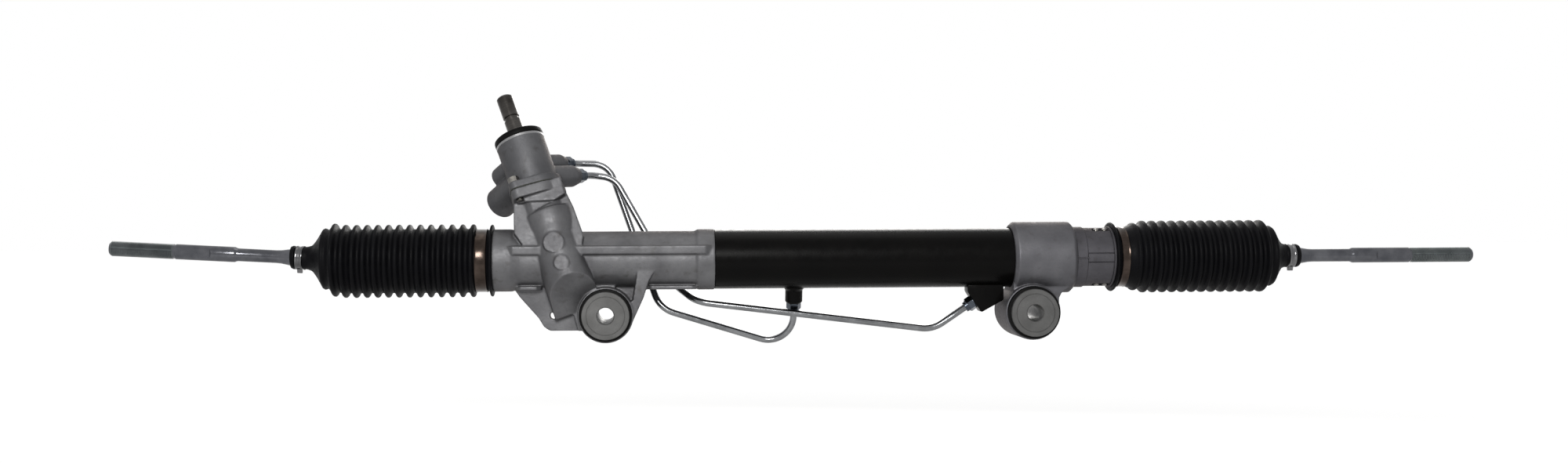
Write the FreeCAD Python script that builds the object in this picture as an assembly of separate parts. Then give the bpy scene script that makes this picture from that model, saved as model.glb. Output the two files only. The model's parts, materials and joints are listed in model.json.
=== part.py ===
import FreeCAD, Part
import math
import os

# Hydraulic power steering rack, all sizes in mm and degrees.
# The origin is the centre of the pinion-side mounting bush. +X runs along the rack towards the cylinder
# end, +Y runs away from the pinion, from the front to the back of the rack, and +Z is up.

Vec = FreeCAD.Vector

# Fits
RUNNING_FIT = 0.05
BALL_FIT = 0.1
RING_FIT = 0.03

# Rack bar and its place above the bush
RACK_HEIGHT = 48.0
RACK_RADIUS = 13.0
RACK_FLAT = 8.9
FLAT_LENGTH = 184.0
FLAT_SHIFT = -3.0
TRAVEL_LEFT = 65.0
TRAVEL_RIGHT = 71.0
STOP_GAP = 1.0

# Gear
PINION_X = -40.5
PINION_LEAN = 20.0
PINION_TILT = 19.0
TOOTH_MODULE = 2.0
PINION_TEETH = 7
PRESSURE_ANGLE = 20.0
PROFILE_SHIFT = 0.55
RACK_ADDENDUM = 2.0
RACK_DEDENDUM = 2.0
PINION_ADDENDUM = 2.6
PINION_ROOT_GAP = 0.5
BACKLASH = 0.3
TOOTH_HALF_LENGTH = 15.0

# Gear housing
HOUSING_LEFT_REACH = 76.5
HOUSING_RIGHT_REACH = 137.2
RACK_TUBE_RADIUS = 25.4
RACK_BORE_RADIUS = 16.0
LEFT_BARREL_RADIUS = 27.7
LEFT_BARREL_LENGTH = 16.0
COLLAR_RADIUS = 27.0
COLLAR_LENGTH = 14.7
CUFF_SEAT_LENGTH = 17.5
CUFF_SEAT_RADIUS_LEFT = 25.2
COLUMN_RADIUS = 21.0
COLUMN_BOTTOM = 50.0
TOOTH_BORE_RADIUS = 11.2
VALVE_CAVITY_RADIUS = 16.0
GUIDE_BOSS_RADIUS = 24.5
GUIDE_BOSS_REACH = 40.0
WEB_FRONT = -9.0
WEB_THICKNESS = 8.0
STEP_PLATE_FRONT = -14.0
ARM_FRONT = -24.0
ARM_BACK = 8.0
RIB_HEIGHT = 4.5
WEB_HOLE_RADIUS = 3.3
WEB_HOLE_X = -45.9
WEB_HOLE_Z = -0.7
BUSH_ARM_X = 30.0
# Outlines seen from the front, as (x, z) corners
WEB_OUTLINE = [(-84.0, 27.0), (-76.0, 15.6), (-59.6, -2.9), (-55.0, -10.5), (-51.8, -13.0), (-49.0, -14.3),
               (-14.0, -14.3), (0.0, 0.0), (26.0, 14.0), (28.0, 33.0), (-84.0, 33.0)]
STEP_OUTLINE = [(-32.5, 29.0), (-32.5, 15.3), (-25.9, -8.7), (-24.5, -14.3), (-14.0, -14.3), (0.0, 0.0),
                (10.0, 29.0)]
ARM_OUTLINE = [(24.0, 13.0), (28.8, 42.8), (46.7, 42.6), (41.5, 36.0), (38.1, 30.0), (33.5, 15.5),
               (26.5, 0.0), (20.5, -13.2), (8.0, -10.0), (12.0, 6.0)]
REAR_WEB_OUTLINE = [(-20.0, 8.0), (-20.0, 31.0), (20.0, 31.0), (20.0, 8.0)]
REAR_WEB_BACK = 18.0
# Column under the valve flange: x from the pinion and distance up the slanted front face
FLANGE_COLUMN_OUTLINE = [(-43.0, 66.5), (-41.0, 60.0), (-39.5, 16.0), (-30.0, 2.0), (20.0, 2.0), (21.5, 14.0),
                         (12.5, 40.0), (0.0, 66.5)]
FLANGE_SEAT_DEPTH = 9.0
FLANGE_COLUMN_FRONT = 14.0
# Block on the column's front under the flange, and the pocket below it, as (right, level)
FRONT_BLOCK_OUTLINE = [(-23.6, 64.0), (-20.5, 51.8), (10.4, 42.9), (21.5, 46.0), (22.6, 64.0)]
POCKET_OUTLINE = [(-20.5, 51.8), (10.4, 42.9), (-23.6, 36.0), (-34.0, 36.0), (-34.0, 51.8)]
POCKET_FLOOR = 18.5
# Round raised marks on the column's front: (right, level, radius)
COLUMN_MARKS = [(-2.5, 5.9, 9.4), (-2.0, -14.1, 6.8)]
MARK_FRONT = 21.4
# Longer than anything that is trimmed away
CLEAR_REACH = 90.0
# Slanted lower end of the pinion column, as (y, level) in the pinion's frame
COLUMN_SLANT = [(-40.0, -14.3), (60.0, -75.8), (60.0, -120.0), (-40.0, -120.0)]
# Ribs along the front of the rack tube: height above the rack axis and thickness
UPPER_RIB = (9.5, 7.5)
LOWER_RIB = (-24.2, 3.4)
UPPER_RIB_INSET = 14.0
LOWER_RIB_INSET = 20.0

# Pinion bearings and seal, as distances up the pinion axis from the rack
LOWER_BEARING_BASE = -26.0
LOWER_BEARING_LENGTH = 10.0
LOWER_BEARING_RADIUS = 10.0
LOWER_JOURNAL_RADIUS = 6.35
NEEDLE_CUP_WALL = 1.2
NEEDLE_COUNT = 14
PINION_SHANK_RADIUS = 9.0
PINION_SEAL_BASE = 17.5
PINION_SEAL_LENGTH = 7.0
PINION_SEAL_RADIUS = 15.0
UPPER_BEARING_BASE = 25.5
UPPER_BEARING_LENGTH = 9.0
UPPER_BEARING_BALL = 2.2
BEARING_RACE = 2.2
BALL_COUNT = 10
RETAINER_LENGTH = 1.6
RETAINER_WIDTH = 3.0
PINION_CUP_RADIUS = 13.5
PINION_CUP_BORE = 8.0
PINION_CUP_BASE = 38.0

# Rotary valve
PARTING = 62.5
GASKET_THICKNESS = 0.5
SLEEVE_RADIUS = 16.9
SLEEVE_LENGTH = 33.0
SLEEVE_LIFT = 0.5
ROTOR_GAP = 0.5
ROTOR_RADIUS = 10.9
RING_WIDTH = 1.6
RING_DEPTH = 1.9
TORSION_BAR_RADIUS = 2.8
TORSION_HEAD_RADIUS = 4.2
TORSION_HEAD_LENGTH = 9.0
PIN_RADIUS = 1.5
PIN_PLAY = 0.45
SHAFT_RADIUS = 8.0
SPLINE_RADIUS = 7.5
PINCH_GROOVE_RADIUS = 6.3
SPLINE_LENGTH = 21.0
PINCH_GROOVE_LENGTH = 3.5
INPUT_SHAFT_TIP = 160.0

# Valve housing
VALVE_RADIUS = 22.0
VALVE_WALL_BORE = 17.0
VALVE_ABOVE_SEAL = 1.8
FLANGE_THICKNESS = 6.5
FLANGE_RADIUS = 24.5
FLANGE_BOLT_CIRCLE = 27.5
FLANGE_LOBE_RADIUS = 5.8
TUBE_BOSS_TURN = 38.0
BOLT_LINE_TURN = 50.0
BOLT_RADIUS = 3.0
BOLT_HEAD_RADIUS = 5.2
BOLT_HEAD_HEIGHT = 5.0
BOLT_DEPTH = 18.0
SPOT_FACE_RADIUS = 5.8
SPOT_FACE_HEIGHT = 14.0
SHAFT_BEARING_RADIUS = 14.0
SHAFT_BEARING_LENGTH = 8.0
SHAFT_SEAL_RADIUS = 15.5
SHAFT_SEAL_LENGTH = 5.0
SEAL_RING_THICKNESS = 1.2
SEAL_RING_GROOVE = 16.2
DUST_COVER_RADIUS = 22.4
DUST_COVER_RIM = 5.6
DUST_COVER_DOME = 3.0
NEAR_BOSS_LEVEL = 74.0
NEAR_BOSS_OFFSET = 7.0
NEAR_BOSS_RADIUS = 9.9
FAR_BOSS_LEVEL = 92.0
FAR_BOSS_OFFSET = -3.0
FAR_BOSS_RADIUS = 8.8
TUBE_BOSS_REACH = 46.0
PRESSURE_BOSS_LEVEL = 79.0
PRESSURE_BOSS_RADIUS = 14.5
PRESSURE_BOSS_REACH = 58.0
PRESSURE_PORT_RADIUS = 8.0
RETURN_BOSS_LEVEL = 98.0
RETURN_BOSS_RADIUS = 10.5
RETURN_BOSS_REACH = 44.0
RETURN_PORT_RADIUS = 6.0
RETURN_THREAD_DEPTH = 8.0
RETURN_CLEARANCE_RADIUS = 7.5
RETURN_DRILL_RADIUS = 5.3
RETURN_DRILL_BOTTOM = 15.0
PORT_DEPTH = 12.0
OIL_WAY_RADIUS = 2.5

# Rack guide, as distances from the rack axis away from the pinion
GUIDE_RADIUS = 19.0
GUIDE_BACK = 27.0
LINER_THICKNESS = 1.2
GUIDE_PLAY = 0.3
SPRING_WIRE = 1.4
SPRING_RADIUS = 7.5
SPRING_SEAT = 18.0
CAP_END = 46.0
CAP_RECESS = 9.0
CAP_RECESS_RADIUS = 11.0
CAP_HEX = 7.0
LOCK_NUT_HEIGHT = 5.0
LOCK_NUT_RADIUS = 25.5

# Cylinder
TUBE_RADIUS = 26.4
TUBE_BORE = 22.0
TUBE_SPIGOT_RADIUS = 24.2
PORT_A_FROM_COLLAR = 71.8
PORT_B_FROM_BRACKET = 22.0
PORT_A_LEAN = 14.0
PORT_A_BOSS_RADIUS = 7.75
PORT_A_BOSS_REACH = 40.5
PORT_B_SLOPE = 34.0
PORT_B_HALF_WIDTH = 8.5
PORT_B_FACE_HALF = 11.0
PORT_B_BLOCK_RIGHT = 14.5
PORT_B_BOSS_LENGTH = 14.0
PORT_B_DROP = 31.6
PORT_B_FRONT = -4.0
SEAL_LENGTH = 8.0
SEAL_RADIUS = 19.0
INNER_BUSH_LENGTH = 9.0
PISTON_LENGTH = 20.0
PISTON_CENTRE = 252.0
PISTON_GAP = 0.2
PISTON_RING_WIDTH = 4.0
PISTON_RING_DEPTH = 3.0
CIRCLIP_THICKNESS = 1.2
CIRCLIP_DEPTH = 0.8
CIRCLIP_HEIGHT = 1.6

# Right-hand bracket and end housing
BUSH_SPACING = 378.0
BRACKET_LEFT_REACH = 16.1
BRACKET_RIGHT_REACH = 39.4
BRACKET_RADIUS = 31.8
BRACKET_CHAMFER = 3.0
END_SHOULDER_RADIUS = 27.1
END_SHOULDER_LENGTH = 17.1
END_BODY_RADIUS = 26.2
END_BODY_LENGTH = 17.9
CUFF_SEAT_RADIUS_RIGHT = 24.3
END_SPIGOT_LENGTH = 18.4
END_BORE = 13.8
RACK_BUSHING_RADIUS = 16.0
RACK_BUSHING_LENGTH = 30.0
O_RING_WIDTH = 2.6
O_RING_DEPTH = 2.0
LOCK_RING_WIDTH = 1.5
LOCK_RING_DEPTH = 1.0

# Mounting bushes
EYE_RADIUS = 24.5
EYE_BORE = 20.0
EYE_HALF_LENGTH = 25.0
BUSH_LIP_RADIUS = 23.4
BUSH_LIP_THICKNESS = 4.5
BUSH_PLATE_RADIUS = 21.0
BUSH_PLATE_THICKNESS = 4.5
BUSH_SLEEVE_RADIUS = 11.0
BUSH_BOLT_RADIUS = 7.25

# Tie rods, as distances from the ball centre
BALL_RADIUS = 11.0
SEAT_RADIUS = 12.6
SEAT_OPENING = 45.0
SOCKET_RADIUS = 18.0
SOCKET_BACK = 16.0
SOCKET_FRONT = 10.0
SOCKET_SHOULDER = 3.0
SOCKET_LIP_RADIUS = 14.6
SOCKET_OPENING = 50.3
SOCKET_FLAT = 15.5
SOCKET_STUD_RADIUS = 7.0
SOCKET_STUD_LENGTH = 22.0
CLAW_THICKNESS = 1.5
CLAW_RADIUS = 17.5
CLAW_TAB_WIDTH = 6.0
CLAW_TAB_LENGTH = 6.0
NECK_RADIUS = 6.0
NECK_END = 50.0
CLIP_SEAT_START = 56.0
CLIP_SEAT_RADIUS = 7.5
FLARE_START = 72.4
FLARE_END = 84.4
SHAFT_THIN_RADIUS = 5.75
THIN_END = 118.6
SHAFT_THICK_RADIUS = 6.8
THICK_END = 142.5
FLATS_END = 173.0
FLAT_HALF_WIDTH = 5.6
ROD_TIP = 230.5
THREAD_RADIUS = 6.95
LEFT_ROD_RISE = 3.2

# Bellows
BELLOWS_WALL = 1.2
CUFF_THICKNESS = 2.2
BAND_THICKNESS = 0.6
BAND_WIDTH_LEFT = 10.5
BAND_WIDTH_RIGHT = 7.2
BAND_FROM_LIP_LEFT = 4.8
BAND_FROM_LIP_RIGHT = 5.4
CUFF_PAST_BAND = 0.6
LIP_WIDTH = 2.2
LIP_RADIUS_LEFT = 32.0
LIP_RADIUS_RIGHT = 31.0
PEAK_RADIUS = 32.4
VALLEY_RADIUS = 28.2
FOLD_PITCH_LEFT = 9.38
FOLD_COUNT_LEFT = 14
FOLD_PITCH_RIGHT = 8.88
FOLD_COUNT_RIGHT = 14
FIRST_PEAK_LEFT = 17.8
FIRST_PEAK_RIGHT = 21.0
BELLOWS_SHOULDER = 5.0
SMALL_CUFF_THICKNESS = 1.9
CLIP_FROM_BALL = 61.0
CLIP_WIDTH = 6.5
CLIP_THICKNESS = 0.7

# Transfer tubes
PIPE_RADIUS = 3.0
PIPE_BORE = 2.0
NUT_RADIUS = 6.2
NUT_LENGTH = 9.0
NUT_INSERT = 5.0
# Straight runs out of the four nuts, and the corners between them
FAR_MOUTH_RUN = 15.0
NEAR_MOUTH_RUN = 19.0
PORT_A_RUN = 44.0
PORT_B_RUN = 44.0
NEAR_PORT_ROUTE = [(1.5, 60.0, 134.8), (48.0, 22.0, 3.0)]
FAR_PORT_ROUTE = [(7.5, 47.5, 121.5), (63.0, 26.0, 23.0), (81.0, 1.5, 9.8)]
NEAR_PORT_BENDS = [14.0, 20.0, 26.0, 23.0]
FAR_PORT_BENDS = [14.0, 22.0, 18.0, 24.0, 28.0]

# Worked out from the sizes above
X_AXIS = Vec(1, 0, 0)
Y_AXIS = Vec(0, 1, 0)
Z_AXIS = Vec(0, 0, 1)
LEAN = math.radians(PINION_LEAN)
TILT = math.radians(PINION_TILT)
TOOTH_LINE = Vec(0, math.sin(LEAN), math.cos(LEAN))
TO_PINION = Vec(0, -math.cos(LEAN), math.sin(LEAN))
PINION_AXIS = TOOTH_LINE * math.cos(TILT) - X_AXIS * math.sin(TILT)
PINION_RIGHT = X_AXIS * math.cos(TILT) + TOOTH_LINE * math.sin(TILT)
PITCH_RADIUS = PINION_TEETH * TOOTH_MODULE / (2 * math.cos(TILT))
REFERENCE_DISTANCE = PITCH_RADIUS + PROFILE_SHIFT * TOOTH_MODULE
CENTRE_DISTANCE = RACK_FLAT - RACK_ADDENDUM + REFERENCE_DISTANCE
PINION_ORIGIN = Vec(PINION_X, 0, RACK_HEIGHT) + TO_PINION * CENTRE_DISTANCE

HOUSING_LEFT = PINION_X - HOUSING_LEFT_REACH
COLLAR_END = PINION_X + HOUSING_RIGHT_REACH
BRACKET_LEFT = BUSH_SPACING - BRACKET_LEFT_REACH
TUBE_RIGHT = BUSH_SPACING + BRACKET_RIGHT_REACH
END_STEP = TUBE_RIGHT + END_SHOULDER_LENGTH
END_RIM = END_STEP + END_BODY_LENGTH
END_RIGHT = END_RIM + CUFF_SEAT_LENGTH
TUBE_LEFT = COLLAR_END - COLLAR_LENGTH
RACK_LEFT = HOUSING_LEFT - STOP_GAP - TRAVEL_RIGHT
RACK_RIGHT = END_RIGHT + STOP_GAP + TRAVEL_LEFT
BALL_LEFT = RACK_LEFT - CLAW_THICKNESS - SOCKET_BACK
BALL_RIGHT = RACK_RIGHT + CLAW_THICKNESS + SOCKET_BACK
SLEEVE_BASE = PARTING + SLEEVE_LIFT
SLEEVE_TOP = SLEEVE_BASE + SLEEVE_LENGTH
SHAFT_BEARING_BASE = SLEEVE_TOP + 1.0
SHAFT_SEAL_BASE = SHAFT_BEARING_BASE + SHAFT_BEARING_LENGTH + 0.5
SEAL_RING_BASE = SHAFT_SEAL_BASE + SHAFT_SEAL_LENGTH
VALVE_TOP = SEAL_RING_BASE + SEAL_RING_THICKNESS + VALVE_ABOVE_SEAL
COLUMN_TOP = PARTING
PORT_A_X = COLLAR_END + PORT_A_FROM_COLLAR
PORT_B_X = BRACKET_LEFT - PORT_B_FROM_BRACKET
CAP_FACE = GUIDE_BACK + GUIDE_PLAY
RISE = math.radians(LEFT_ROD_RISE)
LEFT_ROD_AXIS = Vec(-math.cos(RISE), 0, math.sin(RISE))
LEFT_BALL = Vec(BALL_LEFT, 0, RACK_HEIGHT)
RIGHT_BALL = Vec(BALL_RIGHT, 0, RACK_HEIGHT)


def placed(shape, origin, z_axis, x_axis=None):
    """Move a shape built along Z from the world origin to its own place."""
    if x_axis is None:
        rotation = FreeCAD.Rotation(Z_AXIS, z_axis)
    else:
        rotation = FreeCAD.Rotation(x_axis, z_axis.cross(x_axis), z_axis, "ZXY")
    moved = shape.copy()
    moved.Placement = FreeCAD.Placement(origin, rotation).multiply(moved.Placement)
    return moved


def turned(profile, origin, axis):
    """Solid of revolution about an axis, from (radius, distance along the axis) corners."""
    points = [Vec(radius, 0, along) for radius, along in profile]
    face = Part.Face(Part.makePolygon(points + points[:1]))
    return placed(face.revolve(Vec(), Z_AXIS, 360), origin, axis)


def ring(origin, axis, start, end, outer, inner=0.0):
    """Disc or ring between two distances along an axis."""
    return turned([(inner, start), (outer, start), (outer, end), (inner, end)], origin, axis)


def rack_ring(start, end, outer, inner=0.0):
    """Disc or ring around the rack between two X stations."""
    return ring(Vec(0, 0, RACK_HEIGHT), X_AXIS, start, end, outer, inner)


def pinion_ring(start, end, outer, inner=0.0):
    """Disc or ring around the pinion axis between two levels."""
    return ring(PINION_ORIGIN, PINION_AXIS, start, end, outer, inner)


def in_pinion_frame(shape):
    """Place a shape whose X points right, Z up the pinion and Y away from the viewer."""
    return placed(shape, PINION_ORIGIN, PINION_AXIS, PINION_RIGHT)


def prism(points, vector):
    """Straight prism on a flat polygon."""
    return Part.Face(Part.makePolygon(points + points[:1])).extrude(vector)


def front_plate(outline, front, back):
    """Plate seen from the front: (x, z) outline between two Y planes."""
    points = [Vec(x, front, z) for x, z in outline]
    return prism(points, Y_AXIS * (back - front))


def polygon_bar(origin, axis, start, end, corner_radius, sides, turn=0.0):
    """Regular prism along an axis, such as a hexagon head."""
    points = []
    for index in range(sides):
        angle = math.radians(turn + 360.0 * index / sides)
        points.append(Vec(corner_radius * math.cos(angle), corner_radius * math.sin(angle), start))
    return placed(prism(points, Z_AXIS * (end - start)), origin, axis)


def around(origin, axis, radius, level, count, shape_at):
    """Copies of a small shape spaced evenly round an axis."""
    copies = []
    for index in range(count):
        angle = 2 * math.pi * index / count
        spot = Vec(radius * math.cos(angle), radius * math.sin(angle), level)
        copies.append(placed(shape_at(spot), origin, axis))
    return copies


def fused(shapes):
    """One solid out of overlapping ones."""
    return shapes[0].multiFuse(shapes[1:]).removeSplitter()


def save(name, *solids):
    """Write one sub-part, and stop if a solid is broken."""
    for solid in solids:
        if not solid.isValid() or solid.Volume <= 0 or not solid.Solids:
            raise ValueError("bad solid in " + name)
    pieces = [piece for solid in solids for piece in solid.Solids]
    shape = pieces[0] if len(pieces) == 1 else Part.makeCompound(pieces)
    shape.exportStep(os.path.join("parts", name + ".step"))
    print(name, len(pieces), round(shape.Volume, 1))


def valve_direction():
    """Horizontal-looking direction of the tube bosses, square to the pinion."""
    turn = math.radians(TUBE_BOSS_TURN)
    return PINION_RIGHT * math.cos(turn) - TO_PINION * math.sin(turn)


def valve_cross_direction():
    """Direction square to the tube bosses and to the pinion, towards the viewer."""
    turn = math.radians(TUBE_BOSS_TURN)
    return PINION_RIGHT * math.sin(turn) + TO_PINION * math.cos(turn)


def pinion_point(level, along=0.0, across=0.0):
    """Point at a level up the pinion, offset along the tube bosses and across them."""
    return (PINION_ORIGIN + PINION_AXIS * level + valve_direction() * along
            + valve_cross_direction() * across)


def bolt_line_point(level, along, across=0.0):
    """Point at a level up the pinion, offset along the line of the two flange bolts and across it."""
    turn = math.radians(BOLT_LINE_TURN)
    line = PINION_RIGHT * math.cos(turn) - TO_PINION * math.sin(turn)
    square = PINION_RIGHT * math.sin(turn) + TO_PINION * math.cos(turn)
    return PINION_ORIGIN + PINION_AXIS * level + line * along + square * across


def flange_outline(base, thickness):
    """Two-lobed plate that follows the valve flange."""
    core = pinion_ring(base, base + thickness, FLANGE_RADIUS)
    lobes = []
    for side in (-1, 1):
        centre = bolt_line_point(0, side * FLANGE_BOLT_CIRCLE)
        lobes.append(ring(centre, PINION_AXIS, base, base + thickness, FLANGE_LOBE_RADIUS))
        tangent = math.acos((FLANGE_RADIUS - FLANGE_LOBE_RADIUS) / FLANGE_BOLT_CIRCLE)
        corners = []
        for sign in (1, -1):
            along = side * math.cos(tangent)
            across = sign * math.sin(tangent)
            wide = bolt_line_point(base, along * FLANGE_RADIUS, across * FLANGE_RADIUS)
            narrow = bolt_line_point(base, side * FLANGE_BOLT_CIRCLE + along * FLANGE_LOBE_RADIUS,
                                     across * FLANGE_LOBE_RADIUS)
            corners.extend([wide, narrow] if sign > 0 else [narrow, wide])
        lobes.append(prism(corners, PINION_AXIS * thickness))
    return fused([core] + lobes)


def tooth_profile(outer_radius, root_radius, half_angle_at_pitch):
    """Transverse outline of the pinion as one closed wire, first tooth pointing along +X."""
    transverse = math.atan(math.tan(math.radians(PRESSURE_ANGLE)) / math.cos(TILT))
    base_radius = PITCH_RADIUS * math.cos(transverse)
    involute_at_pitch = math.tan(transverse) - transverse

    def flank_angle(radius):
        if radius <= base_radius:
            return half_angle_at_pitch + involute_at_pitch
        pressure = math.acos(base_radius / radius)
        return half_angle_at_pitch + involute_at_pitch - (math.tan(pressure) - pressure)

    def polar(radius, angle):
        return Vec(radius * math.cos(angle), radius * math.sin(angle), 0)

    steps = 6
    radii = [base_radius + (outer_radius - base_radius) * index / steps for index in range(steps + 1)]
    pitch_angle = 2 * math.pi / PINION_TEETH
    edges = []
    for tooth in range(PINION_TEETH):
        centre = tooth * pitch_angle
        for side in (-1, 1):
            order = radii if side < 0 else radii[::-1]
            curve = Part.BSplineCurve()
            curve.interpolate([polar(radius, centre + side * flank_angle(radius)) for radius in order])
            root = polar(root_radius, centre + side * flank_angle(0))
            foot = polar(base_radius, centre + side * flank_angle(0))
            if side < 0:
                edges.append(Part.makeLine(root, foot))
                edges.append(curve.toShape())
                half = flank_angle(outer_radius)
                tips = [polar(outer_radius, centre + turn * half) for turn in (-1, 0, 1)]
                edges.append(Part.Arc(*tips).toShape())
            else:
                edges.append(curve.toShape())
                edges.append(Part.makeLine(foot, root))
        gap_start = centre + flank_angle(0)
        gap_end = centre + pitch_angle - flank_angle(0)
        gap = [polar(root_radius, angle) for angle in (gap_start, (gap_start + gap_end) / 2, gap_end)]
        edges.append(Part.Arc(*gap).toShape())
    return Part.Wire(edges)


def toothed_bar():
    """The pinion's helical teeth, centred where it crosses the rack."""
    shift = 2 * PROFILE_SHIFT * math.tan(math.radians(PRESSURE_ANGLE))
    thickness = TOOTH_MODULE * (math.pi / 2 + shift)
    half_angle = (thickness - BACKLASH / 2) / math.cos(TILT) / (2 * PITCH_RADIUS)
    outer = PITCH_RADIUS + PINION_ADDENDUM
    root = REFERENCE_DISTANCE - RACK_ADDENDUM - PINION_ROOT_GAP
    profile = tooth_profile(outer, root, half_angle)
    length = 2 * TOOTH_HALF_LENGTH
    lead = 2 * math.pi * PITCH_RADIUS / math.tan(TILT)
    spine = Part.makeHelix(lead, length, 10.0, 0, True)
    sweep = Part.BRepOffsetAPI.MakePipeShell(spine)
    sweep.setFrenetMode(True)
    sweep.add(profile, False, False)
    sweep.build()
    skin = Part.makeShell(sweep.shape().Faces + [Part.Face(sweep.lastShape()), Part.Face(profile)])
    skin.sewShape()
    teeth = Part.makeSolid(skin)
    # Half the length is a turn about the axis, which puts a tooth on the rack at the middle level
    start_turn = math.degrees(TOOTH_HALF_LENGTH * math.tan(TILT) / PITCH_RADIUS)
    teeth.rotate(Vec(), Z_AXIS, start_turn)
    teeth.translate(Vec(0, 0, -TOOTH_HALF_LENGTH))
    return placed(teeth, PINION_ORIGIN, PINION_AXIS, TO_PINION * -1)


def pinion():
    """Pinion with its journals and the cup that takes the torsion bar and valve sleeve."""
    teeth = toothed_bar()
    shank_base = TOOTH_HALF_LENGTH
    cup_floor = PINION_CUP_BASE + 2.0
    bar_bore = TORSION_HEAD_RADIUS
    journal = pinion_ring(LOWER_BEARING_BASE + 0.5, 1 - TOOTH_HALF_LENGTH, LOWER_JOURNAL_RADIUS)
    blank = fused([teeth, journal,
                   pinion_ring(shank_base - 1.0, PINION_CUP_BASE, PINION_SHANK_RADIUS),
                   pinion_ring(PINION_CUP_BASE, SLEEVE_BASE, PINION_CUP_RADIUS)])
    bore = pinion_ring(cup_floor + TORSION_HEAD_LENGTH, SLEEVE_BASE + 1, PINION_CUP_BORE)
    socket = pinion_ring(cup_floor, SLEEVE_BASE, bar_bore)
    pin_hole = cross_pin(cup_floor + TORSION_HEAD_LENGTH / 2, PINION_CUP_RADIUS + 1)
    return blank.cut(bore).cut(socket).cut(pin_hole)


def cross_pin(level, half_length, radius=PIN_RADIUS):
    """Pin square to the pinion axis at one level."""
    middle = PINION_ORIGIN + PINION_AXIS * level
    return ring(middle, PINION_RIGHT, -half_length, half_length, radius)


def torsion_bar():
    """Slim bar with two thick ends, drilled for its pins; the upper hole leaves play for the valve."""
    base = PINION_CUP_BASE + 2.0
    top = INPUT_SHAFT_TIP - 2.0
    slim = TORSION_BAR_RADIUS
    head = TORSION_HEAD_RADIUS
    upper = head - RUNNING_FIT
    low = base + TORSION_HEAD_LENGTH
    high = top - TORSION_HEAD_LENGTH
    profile = [(0, base), (head, base), (head, low), (slim, low + 2), (slim, high - 2), (upper, high),
               (upper, top), (0, top)]
    bar = turned(profile, PINION_ORIGIN, PINION_AXIS)
    bar = bar.cut(cross_pin(base + TORSION_HEAD_LENGTH / 2, head + 1))
    return bar.cut(cross_pin(top - TORSION_HEAD_LENGTH / 2, head + 1, PIN_RADIUS + PIN_PLAY))


def input_shaft():
    """Splined shaft whose lower end is the valve rotor."""
    low = PINION_CUP_BASE + 2.0 + TORSION_HEAD_LENGTH + 3.0
    rotor_base = SLEEVE_BASE + ROTOR_GAP
    spline_base = INPUT_SHAFT_TIP - SPLINE_LENGTH
    groove_base = spline_base - PINCH_GROOVE_LENGTH
    shoulder = VALVE_TOP + DUST_COVER_RIM + DUST_COVER_DOME + 1.0
    tongue = PINION_CUP_BORE - RUNNING_FIT
    profile = [(0, low), (tongue, low), (tongue, rotor_base), (ROTOR_RADIUS, rotor_base),
               (ROTOR_RADIUS, SLEEVE_TOP), (SHAFT_RADIUS, SLEEVE_TOP), (SHAFT_RADIUS, shoulder),
               (SPLINE_RADIUS, shoulder), (SPLINE_RADIUS, groove_base), (PINCH_GROOVE_RADIUS, groove_base),
               (PINCH_GROOVE_RADIUS, spline_base), (SPLINE_RADIUS, spline_base),
               (SPLINE_RADIUS, INPUT_SHAFT_TIP - 1.2), (SPLINE_RADIUS - 1.2, INPUT_SHAFT_TIP),
               (0, INPUT_SHAFT_TIP)]
    shaft = turned(profile, PINION_ORIGIN, PINION_AXIS)
    shaft = shaft.cut(pinion_ring(low - 1, INPUT_SHAFT_TIP + 1, TORSION_HEAD_RADIUS))
    slots = []
    for index in range(6):
        corner = Vec(ROTOR_RADIUS - 1.4, -1.0, SLEEVE_BASE + 7.0)
        slot = Part.makeBox(2.4, 2.0, SLEEVE_LENGTH * 0.55, corner)
        slot.rotate(Vec(), Z_AXIS, 60.0 * index)
        slots.append(in_pinion_frame(slot))
    shaft = shaft.cut(Part.makeCompound(slots))
    pin_level = INPUT_SHAFT_TIP - 2.0 - TORSION_HEAD_LENGTH / 2
    return shaft.cut(cross_pin(pin_level, SPLINE_RADIUS + 1))


def valve_sleeve():
    """Valve sleeve with ring grooves, oil grooves and drilled oil ways."""
    bore = ROTOR_RADIUS + RUNNING_FIT
    sleeve = pinion_ring(SLEEVE_BASE, SLEEVE_TOP, SLEEVE_RADIUS, bore)
    for level in ring_levels():
        groove = pinion_ring(level, level + RING_WIDTH, SLEEVE_RADIUS + 1, SLEEVE_RADIUS - RING_DEPTH)
        sleeve = sleeve.cut(groove)
    step = SLEEVE_LENGTH / 4
    for index in range(3):
        middle = SLEEVE_BASE + step * (index + 1)
        sleeve = sleeve.cut(pinion_ring(middle - 2, middle + 2, SLEEVE_RADIUS + 1, SLEEVE_RADIUS - 1.2))
        sleeve = sleeve.cut(cross_pin(middle, SLEEVE_RADIUS + 1, 1.2))
    return sleeve


def ring_levels():
    """Levels of the four sealing rings on the valve sleeve."""
    step = SLEEVE_LENGTH / 4
    return [SLEEVE_BASE + step * (index + 0.5) - RING_WIDTH / 2 for index in range(4)]


def valve_rings():
    """The four sealing rings of the valve sleeve."""
    outer = VALVE_WALL_BORE - RING_FIT
    inner = SLEEVE_RADIUS - RING_DEPTH
    return [pinion_ring(level, level + RING_WIDTH, outer, inner) for level in ring_levels()]


def tube_boss(level, offset, radius):
    """Boss on the valve housing that takes one transfer tube."""
    start = pinion_point(level, 0, offset)
    tip = TUBE_BOSS_REACH
    profile = [(0, 0), (radius, 0), (radius, tip - 7), (radius - 2.6, tip), (0, tip)]
    return turned(profile, start, valve_direction())


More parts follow.
